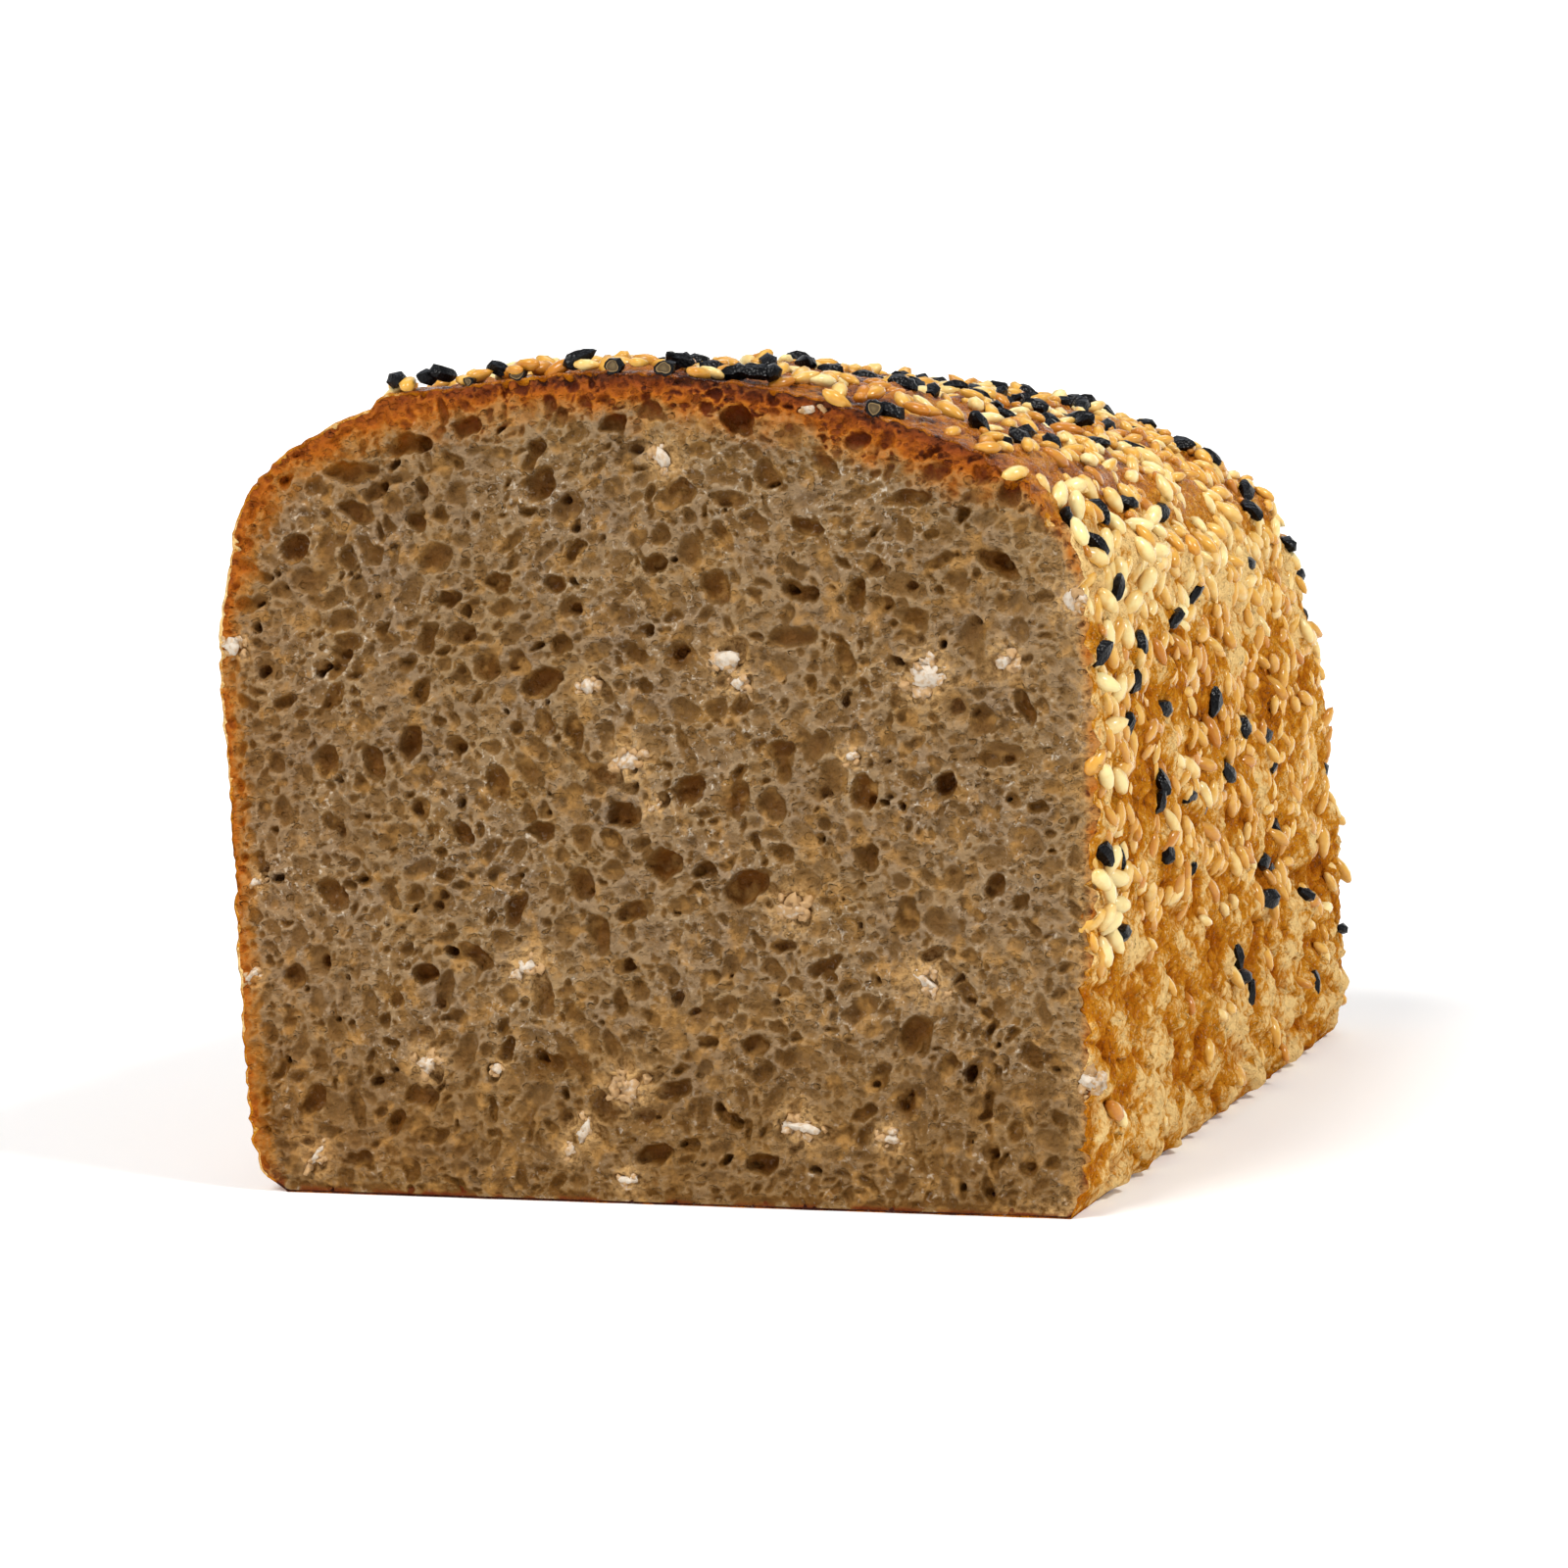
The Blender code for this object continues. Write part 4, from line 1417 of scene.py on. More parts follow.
    def patch(self, x: float, z: float, wide: float, high: float,
              tilt: float) -> tuple[tuple[slice, slice], Array, Array]:
        """The part of the raster round one ellipse, with its places in the ellipse's own sizes.

        Args:
            x: The ellipse's middle across.
            z: Its middle's height.
            wide: Half its size along its tilt.
            high: Half its size across its tilt.
            tilt: Its tilt in radians.

        Returns:
            The part's rows and columns, then u and v, which reach 1 at the ellipse's edge.
        """
        reach = max(wide, high) + 0.9
        low_i = max(int((x - reach - self.xs[0]) / self.raster), 0)
        low_j = max(int((z - reach - self.zs[0]) / self.raster), 0)
        span = int(2.0 * reach / self.raster) + 2
        part = (slice(low_j, low_j + span), slice(low_i, low_i + span))
        dx, dz = self.x[part] - x, self.z[part] - z
        u = (dx * math.cos(tilt) + dz * math.sin(tilt)) / wide
        v = (dz * math.cos(tilt) - dx * math.sin(tilt)) / high
        return part, u, v

    def carve(self, x: float, z: float, wide: float, high: float, deep: float, tilt: float,
              middle: float = 0.0, wall: float = 0.0, dark: float = 0.0) -> bool:
        """Cut one bubble, a rounded box, wherever it meets the air that is already open.

        With q = 1 - |u|^2.3 - |v|^2.3 the bubble spans middle -+ deep * q^0.42. Where its near side
        is in the open, the surface moves back to its far side. A bubble with a wall is left out
        if it comes closer than that to another.

        Args:
            x: Its middle across.
            z: Its middle's height.
            wide: Half its size along its tilt.
            high: Half its size across its tilt.
            deep: Half its size into the loaf.
            tilt: Its tilt in radians.
            middle: How deep its middle lies.
            wall: The least wall to its neighbours, or 0 to cut it in any case.
            dark: How dark the painted shade in its inside is.

        Returns:
            True if it was cut.
        """
        part, u, v = self.patch(x, z, wide, high, tilt)
        round_ = np.abs(u) ** self.box_power + np.abs(v) ** self.box_power
        walled = round_ < (1.0 + wall / high) ** self.box_power
        if wall > 0.0 and self.taken[part][walled].any():
            return False
        half = deep * np.clip(1.0 - round_, 0.0, None) ** self.wall_power
        surface = self.depth[part]
        opened = (half > 0.0) & (middle - half < surface) & (middle + half > surface)
        surface[opened] = (middle + half)[opened]
        inside = round_ < 1.0
        tone = self.tone[part]
        # Painted shade: the bubble's darkness goes into the tone raster, fading towards its edge.
        tone[inside] = np.maximum(tone, dark * (1.0 - 0.55 * round_**2))[inside]
        self.taken[part] |= inside
        return True

    def carve_layer(self, layer: BubbleLayer, draw: np.random.Generator) -> int:
        """Carve a layer of bubbles: small by the crust, drawn out along the crumb's run.

        They are flattest near the bottom and under the dome. A share of them may cut into others.

        Args:
            layer: The layer.
            draw: Where the random numbers come from.

        Returns:
            How many bubbles found room.
        """
        x = draw.uniform(-53.0, 53.0, layer.tries)
        z = draw.uniform(0.6, 96.5, layer.tries)
        size = layer.low + (layer.high - layer.low) * draw.random(layer.tries) ** 1.6
        rim = self.rim_distance(x, z)
        size = size * (0.75 + 0.25 * between(0.0, 14.0, rim))
        turn = self.read(self.run, x, z, self.xs, self.zs) + draw.normal(0.0, 0.3, layer.tries)
        crowd = self.read(self.crowd, x, z, self.xs, self.zs)
        flat = 2.1 + 1.3 * between(40.0, 10.0, z) + 0.8 * between(58.0, 84.0, z)
        long = np.sqrt(draw.uniform(1.0, flat))
        open_ = draw.random(layer.tries)
        deep = size * (layer.shallow + (layer.deep - layer.shallow) * open_ ** 1.4)
        # Painted shade: the more open a bubble, the darker.
        dark = layer.faint + (1.0 - layer.faint) * open_ ** 1.5
        wall = layer.wall * (1.0 + 0.35 * crowd).clip(0.5, 2.0)
        wall = wall * draw.uniform(0.35, 1.7, layer.tries)
        wall[draw.random(layer.tries) < layer.merging] = 0.0
        column = ((x - self.xs[0]) / self.raster).astype(int)
        row = ((z - self.zs[0]) / self.raster).astype(int)
        kept = 0
        for k in np.flatnonzero(size < (0.45 + 0.40 * between(70.0, 84.0, z)) * rim + 0.12):
            if not self.taken[row[k], column[k]]:
                kept += self.carve(x[k], z[k], size[k] * long[k], size[k] / long[k], deep[k],
                                   turn[k], wall=wall[k], dark=dark[k])
        return kept

    def carve_behind(self, layer: BackLayer, draw: np.random.Generator) -> None:
        """Carve a layer of bubbles that lie behind the cut face, wherever open air meets them.

        Args:
            layer: The layer.
            draw: Where the random numbers come from.
        """
        x = draw.uniform(-52.0, 52.0, layer.count)
        z = draw.uniform(2.0, 95.0, layer.count)
        size = draw.uniform(layer.low, layer.high, layer.count)
        middle = draw.uniform(layer.near, layer.far, layer.count)
        turn = draw.uniform(0.0, math.pi, layer.count)
        for k in range(layer.count):
            self.carve(x[k], z[k], 1.15 * size[k], 0.9 * size[k], size[k], turn[k], middle[k])

    def carve_all(self) -> None:
        """Carve the named holes, then layer on layer of bubbles, each where the last left room."""
        draw = np.random.default_rng(self.seed)
        self.depth = np.zeros_like(self.x)
        self.taken = np.zeros(self.x.shape, dtype=bool)
        self.tone = np.zeros_like(self.x)
        # The named holes get dark painted shade.
        for hole in self.holes:
            self.carve(hole.x, hole.z, 0.5 * hole.width, 0.5 * hole.height, 0.66 * hole.depth,
                       math.radians(hole.tilt), dark=0.9)
        for number, layer in enumerate(self.layers):
            log.info("bubble layer %d: %d bubbles", number, self.carve_layer(layer, draw))
        for layer in self.back_layers:
            self.carve_behind(layer, draw)
        inside = self.outwards(*np.meshgrid(self.xs, self.zs)) < 0.9
        log.info("cells cover %.0f percent", 100.0 * self.taken[inside].mean())
        self.depth = np.minimum(self.depth, self.deepest)
        # The rise mark, for the painted highlights on the cells' rims: the softened depth less the
        # depth, high where the surface stands proud of its neighbours.
        wide = self.depth
        for _ in range(self.rise_rounds):
            wide = self.soften(wide)
        self.rise = wide - self.depth
        self.depth = self.soften(self.depth)

    @staticmethod
    def soften(values: Array) -> Array:
        """Round sharp edges a little: each place becomes a 1-2-1 mean of its neighbours."""
        for axis in (0, 1):
            values = 0.5 * values + 0.25 * (np.roll(values, 1, axis) + np.roll(values, -1, axis))
        return values

    def face_grid(self) -> Array:
        """Places on the face as a grid whose four sides follow the outline.

        The bottom, the dome and the two walls bound a patch: P(s, t) = (1 - t) bottom(s)
        + t dome(s) + (1 - s) left(t) + s right(t) - the four corners' bilinear mean. A corner is
        where the outline comes to run more across than up.

        Returns:
            The (x, z) places, shape (rows, columns, 2).
        """
        outline = self.form.smooth_outline(self.form.cut_outline, self.outline_steps)
        tangent = unit(np.gradient(outline, axis=0))
        inward = joined(tangent[:, 1], -tangent[:, 0])
        ring = self.crust.cut_edge(self.outline_steps) + inward * self.inset
        ring[:, 1] = np.maximum(ring[:, 1], self.lowest)
        left_end = int(np.argmax(tangent[:, 0] > math.sqrt(0.5)))
        right_start = len(ring) - 1 - int(np.argmax(tangent[::-1, 0] > math.sqrt(0.5)))
        columns = int(self.grid_width / self.step)
        rows = int(self.grid_height / self.step)
        left = even_steps(ring[: left_end + 1], rows)
        top = even_steps(ring[left_end: right_start + 1], columns)
        right = even_steps(ring[right_start:][::-1], rows)
        bottom = even_steps(np.stack([ring[0], ring[-1]]), columns)
        s = np.linspace(0.0, 1.0, columns)[None, :, None]
        t = np.linspace(0.0, 1.0, rows)[:, None, None]
        corners = ((1 - s) * (1 - t) * bottom[0] + s * (1 - t) * bottom[-1]
                   + (1 - s) * t * top[0] + s * t * top[-1])
        return ((1 - t) * bottom[None] + t * top[None] + (1 - s) * left[:, None]
                + s * right[:, None] - corners)

    def build(self) -> list[Piece]:
        """Make the slab in three layers, one over the other.

        Returns:
            The pieces from the lowest up.
        """
        self.lay_raster()
        self.carve_all()
        flat = self.face_grid()
        x, z = flat[..., 0], flat[..., 1]
        depth, tone, rise = (self.read(values, x, z, self.xs, self.zs)
                             for values in (self.depth, self.tone, self.rise))
        rim = self.rim_distance(x, z)
        places = joined(x, depth, z)
        lumps = (0.13 * WaveNoise(51, 2.6)(places) + 0.07 * WaveNoise(52, 1.1)(places)
                 + 0.035 * WaveNoise(53, 0.6)(places))
        front = joined(x, depth + 0.1 + lumps * between(0.0, 1.5, rim), z)
        ragged = between(-0.5, 0.4, WaveNoise(54, 3.4)(places * np.array([1.0, 0.0, 1.0])))
        # The tone mark: the cells' painted shade, darker towards the bottom, and a dark line at the very
        # bottom, the bottom crust, that shows only in places.
        tone = tone * (1.0 + 0.9 * between(4.0, 1.5, z)) + 0.27 * between(28.0, 8.0, z)
        tone = tone + 1.2 * ragged * between(1.7, 0.8, z)
        crust_side = 0.9 * np.exp(-rim / 1.7) * between(38.0, 48.0, x)
        warm = np.exp(-rim / 10.0) * between(-10.0, -40.0, x) * between(1.5, 5.0, z)
        marks = {"tone": tone, "depth": depth, "rise": rise,
                 "rim": self.browning(x, z, rim, ragged),
                 "grain": np.maximum(self.grain_share(x, z), crust_side), "warm": warm}
        at_rim = np.zeros(x.shape, dtype=bool)
        at_rim[[0, -1]] = True
        at_rim[:, [0, -1]] = True
        behind = front + np.array([0.0, 1.0, 0.0])
        inward = unit(np.array([0.0, 0.0, self.heart_z]) - front * np.array([1.0, 0.0, 1.0]))
        behind[at_rim] += inward[at_rim] * self.wall_inset
        bounds = np.linspace(0, len(flat) - 1, len(self.layer_names) + 1).astype(int)
        return [self.slab(name, front[low: high + 1], behind[low: high + 1],
                          {key: values[low: high + 1] for key, values in marks.items()})
                for name, low, high in zip(self.layer_names, bounds[:-1], bounds[1:])]

    def slab(self, name: str, front: Array, behind: Array, marks: dict[str, Array]) -> Piece:
        """Close a part of the face with a wall round it and a flat back.

        Args:
            name: The piece's name.
            front: The carved face, shape (rows, columns, 3).
            behind: Where the wall's first step ends, for the places at the face's border.
            marks: What the material reads at each of its places.

        Returns:
            The piece.
        """
        rows, columns = front.shape[:2]
        number = np.arange(rows * columns).reshape(rows, columns)
        quads = joined(number[:-1, :-1], number[:-1, 1:], number[1:, 1:], number[1:, :-1])
        border = np.concatenate([number[0, :-1], number[:-1, -1], number[-1, :0:-1],
                                 number[:0:-1, 0]])
        near = behind.reshape(-1, 3)[border]
        far = near * np.array([1.0, 0.0, 1.0]) + np.array([0.0, self.back, 0.0])
        count = len(border)
        first = rows * columns
        rings = [border, first + np.arange(count), first + count + np.arange(count)]
        walls = [joined(fore, rear, np.roll(rear, -1), np.roll(fore, -1))
                 for fore, rear in zip(rings[:-1], rings[1:])]
        fan = joined(rings[2], first + 2 * count, np.roll(rings[2], -1))
        middle = [[0.0, self.back, far[:, 2].mean()]]
        points = np.concatenate([front.reshape(-1, 3), near, far, middle])
        piece = Piece(name, self.form.placed(points), [quads.reshape(-1, 4), *walls, fan])
        piece.crease(70.0)
        for key, values in marks.items():
            values = values.ravel()
            piece.mark(key, np.concatenate([values, values[border], values[border], [0.0]]))
        return piece

    @staticmethod
    def browning(x: Array, z: Array, rim: Array, ragged: Array) -> Array:
        """How browned the crumb is by the crust: strong * exp(-distance / reach), most by the dome.

        At the bottom it gives way to a dark line that is there only in places.

        Args:
            x: Places across.
            z: Heights.
            rim: Their distance to the outline.
            ragged: Where the bottom's dark line shows, from 0 to 1.

        Returns:
            The browning for each place.
        """
        above = between(60.0, 84.0, z) * (1.0 - between(36.0, 52.0, x))
        left = between(-36.0, -50.0, x)
        reach = 1.1 + 2.2 * above + 0.9 * left * (1.0 - above)
        reach = reach * (1.0 - 0.55 * between(4.0, 1.5, z))
        strong = (0.50 + 0.32 * above + 0.20 * above * between(-30.0, -6.0, x)
                  + (0.25 * ragged - 0.34) * between(3.0, 0.6, z)
                  - 0.10 * between(38.0, 50.0, x) * (1.0 - above)
                  - 0.12 * between(-24.0, -42.0, x) * above)
        return strong * np.exp(-np.maximum(rim - 0.2, 0.0) / reach)

    @staticmethod
    def grain_share(x: Array, z: Array) -> Array:
        """How near each place is to a cracked grain, as exp(-(distance / size)^2).

        Args:
            x: Places across.
            z: Heights.

        Returns:
            The nearness for each place, from 0 to 1.
        """
        near = np.zeros_like(x)
        for flake in GrainFlakes.flakes:
            gap = np.hypot(x - flake.x, z - flake.z) / (0.5 * (flake.width + flake.height))
            near = np.maximum(near, np.exp(-gap * gap))
        return near


# ---- seeds and flakes ----


@dataclass(frozen=True)
class SeedShape:
    """A seed's form in millimetres: a pointed egg, flattened, with a few rings of few corners."""

    length: float
    width: float
    thickness: float
    corners: int
    stations: tuple[float, ...]
    point: float
    crook: float = 0.0

    def template(self) -> tuple[Array, list[Array]]:
        """One seed along +X, half above and half below Z = 0, and its faces.

        At share t of the length the half width is sqrt(sin(pi t)) * (1 - point * t), and the
        middle sways by crook * sin(pi t).

        Returns:
            The vertices and the groups of faces.
        """
        t = np.array(self.stations)
        swell = np.sqrt(np.sin(math.pi * t)) * (1.0 - self.point * t)
        swell = swell / swell.max()
        angle = 2.0 * math.pi * np.arange(self.corners) / self.corners
        x = ((t - 0.5) * self.length)[:, None]
        sway = self.crook * np.sin(math.pi * t)[:, None]
        y = 0.5 * self.width * swell[:, None] * np.cos(angle) + sway
        z = 0.5 * self.thickness * swell[:, None] * np.sin(angle)
        rings = joined(x, y, z).reshape(-1, 3)
        tips = np.array([[-0.5 * self.length, 0.0, 0.0], [0.5 * self.length, 0.0, 0.0]])
        return np.concatenate([rings, tips]), closed_faces(len(t), self.corners, turned=True)

    def edge_toast_and_shade(self) -> Array:
        """How near each of the template's vertices is to the seed's edge or tips, where it is darker by
        toasting and painted shade.

        Returns:
            The nearness, from 0 to 1.
        """
        angle = 2.0 * math.pi * np.arange(self.corners) / self.corners
        along = np.abs(2.0 * np.array(self.stations) - 1.0) ** 2
        near = np.maximum(np.abs(np.cos(angle)) ** 2, along[:, None])
        return np.concatenate([near.ravel(), [1.0, 1.0]])

    def scatter(self, places: Array, outward: Array, along: Array,
                size: Array) -> tuple[Array, list[Array]]:
        """Copies of the seed at many places, as one mesh.

        Args:
            places: Middles of the seeds.
            outward: The way each seed's flat side faces.
            along: The way each seed points.
            size: Each seed's size, 1 for the full one.

        Returns:
            All vertices and all faces.
        """
        points, faces = self.template()
        along = unit(along - (along * outward).sum(-1, keepdims=True) * outward)
        across = np.cross(outward, along)
        axes = np.stack([along, across, outward], axis=1) * size[:, None, None]
        spread = np.einsum("vk,nkc->nvc", points, axes) + places[:, None, :]
        return spread.reshape(-1, 3), copied_faces(faces, len(places), len(points))


@dataclass
class SeedBed:
    """Where seeds lie: jittered places over the crust, and which share of them carries a seed."""

    crust: Crust
    seed: int
    spacing: float
    jitter: float = 0.42

    def places(self) -> tuple[Array, Array, Array]:
        """Lay jittered places about one spacing apart over the whole skin.

        The skin's grid is walked in steps of one spacing both ways; each place is moved at
        random by up to jitter steps.

        Returns:
            Middles, outward normals and the way over the dome, at each place.
        """
        draw = np.random.default_rng(self.seed)
        skin, normals = self.crust.skin, self.crust.normals
        rings = len(skin)
        back = np.linalg.norm(np.diff(skin[:, : self.crust.over], axis=0), axis=-1).mean(axis=1)
        walked = np.concatenate([[0.0], np.cumsum(back)])
        lines = int(walked[-1] / self.spacing)
        ring = np.interp((np.arange(lines) + 0.5) * walked[-1] / lines, walked, np.arange(rings))
        found = []
        for line, at in enumerate(ring):
            loop = skin[int(at), : self.crust.over + 1]
            side = np.linalg.norm(np.diff(loop, axis=0), axis=-1)
            around = np.concatenate([[0.0], np.cumsum(side)])
            count = max(int(around[-1] / self.spacing), 3)
            off = draw.uniform(-self.jitter, self.jitter, count)
            spot = (np.arange(count) + 0.5 * (line % 2) + off) / count
            column = np.interp(spot * around[-1], around, np.arange(len(loop)))
            off = draw.uniform(-self.jitter, self.jitter, count)
            row = np.clip(at + off * rings / lines, 0.0, rings - 2.0)
            found.append(joined(row, column))
        spots = np.concatenate(found)
        row, column = spots.astype(int).T
        s, t = (spots - spots.astype(int)).T[..., None]
        middle = ((skin[row, column] * (1 - t) + skin[row, column + 1] * t) * (1 - s)
                  + (skin[row + 1, column] * (1 - t) + skin[row + 1, column + 1] * t) * s)
        return middle, unit(normals[row, column]), unit(skin[row, column + 1] - skin[row, column])

    @staticmethod
    def facing_up(outward: Array) -> Array:
        """How much each place is a part of the dome, from 0 to 1, by its outward normal."""
        return between(0.15, 0.75, outward[:, 2])

    def density(self, places: Array, outward: Array) -> Array:
        """Share of the places that carry a seed: the dome is thick with them, the foot is bare.

        Args:
            places: The places.
            outward: Outward normals there.

        Returns:
            The share from 0 to 1.
        """
        x, y, z = places[:, 0], places[:, 1], places[:, 2]
        up = self.facing_up(outward)
        wall = 0.68 * between(20.0, 36.0, z + 3.0 * WaveNoise(61, 14.0)(places))
        dome = 0.84 - 0.46 * between(66.0, 26.0, y) * between(-6.0, 14.0, x)
        share = wall * (1.0 - up) + dome * up
        patchy = 1.0 + 0.7 * np.minimum(WaveNoise(62, 9.0)(places), 0.4)
        bare_left = between(-29.5, -32.0, x) * between(34.0, 16.0, y)
        return share * patchy * (1.0 - bare_left)


@dataclass
class SesameCoat:
    """All the sesame seeds, as one mesh."""

    crust: Crust
    shape: SeedShape = SeedShape(3.65, 1.95, 1.45, 7, (0.05, 0.26, 0.56, 0.85), 0.36)
    spacing: float = 3.05
    pale_size: float = 1.08
    pale_seeds: tuple[Pair, ...] = (
        (1.4, 38.8), (4.4, 40.6), (5.0, 37.2), (8.6, 38.6), (2.6, 34.6), (6.2, 33.6), (9.6, 34.6),
        (12.0, 37.6), (8.0, 30.6), (3.4, 30.4), (2.2, 77.6), (6.4, 66.0), (5.0, 82.0), (9.0, 80.4),
        (14.0, 82.4), (5.4, 74.6), (12.6, 76.0), (20.6, 77.6), (25.0, 80.6), (15.6, 72.4),
        (24.0, 74.4), (6.2, 70.0), (12.8, 69.6), (29.4, 76.6), (27.6, 71.0), (20.4, 68.2),
        (34.0, 73.4), (13.4, 65.6), (39.6, 77.0), (3.0, 60.4), (9.6, 60.0), (5.6, 55.4), (2.4, 50.6),
        (8.4, 49.6),
    )
    seed: int = 71

    def build(self) -> Piece:
        """Scatter the seeds: random headings, slight tilts, sunk to a third, toasted on the walls.

        The pale seeds come last: they stand proud at their own (y, z) places and lean forward.

        Returns:
            The finished piece.
        """
        bed = SeedBed(self.crust, self.seed, self.spacing)
        places, outward, over = bed.places()
        draw = np.random.default_rng(self.seed + 1)
        keep = (draw.random(len(places)) < bed.density(places, outward)) & (places[:, 1] > 0.5)
        named = self.crust.find(self.pale_seeds, (1, 2), 30.0)
        places, outward, over = (np.concatenate([values[keep], more])
                                 for values, more in zip((places, outward, over), named))
        count = len(places)
        up = bed.facing_up(outward)
        upright = draw.normal(0.0, 0.55, count) + math.pi * draw.integers(0, 2, count)
        turn = np.where(draw.random(count) < 0.75 * (1.0 - up), upright,
                        draw.uniform(0.0, 2.0 * math.pi, count))[:, None]
        across = np.cross(outward, over)
        along = np.cos(turn) * over + np.sin(turn) * across
        tilt = unit(outward + draw.normal(0.0, 1.0, (count, 3)) * (0.08 + 0.14 * up)[:, None])
        lift = self.shape.thickness * (draw.uniform(-0.30, 0.06, count) + 0.34 * up)
        front = up * between(16.0, 5.0, places[:, 1]) * between(-34.0, -24.0, places[:, 0])
        lift = lift + front * draw.uniform(0.0, 1.0, count)
        size = draw.normal(1.0, 0.13, count).clip(0.72, 1.32)
        pale = slice(-len(self.pale_seeds), None)
        tilt[pale] = unit(outward[pale] + np.array([0.0, -0.8, 0.0]))
        lift[pale] = 0.5 * self.shape.thickness
        size[pale] = self.pale_size
        points, faces = self.shape.scatter(places + outward * lift[:, None], tilt, along, size)
        piece = Piece("sesame_seeds", self.crust.form.placed(points), faces)
        toast = 0.50 - 0.24 * up - 0.26 * between(58.0, 74.0, places[:, 2]) * (1.0 - up)
        toast = toast + (0.12 + 0.05 * up) * draw.normal(size=count)
        toast = toast + 0.36 * up * (draw.random(count) < 0.55)
        toast[pale] = 0.26 * draw.random(len(self.pale_seeds))
        # Darker at each seed's edge and tips: partly toasting, partly painted shade.
        edge_toast_and_shade = self.shape.edge_toast_and_shade()[None] * draw.uniform(0.1, 0.4, count)[:, None]
        piece.mark("toast", (toast.clip(0.0, 1.0)[:, None] + edge_toast_and_shade - 0.06).ravel())
        log.info("sesame seeds: %d", count)
        return piece


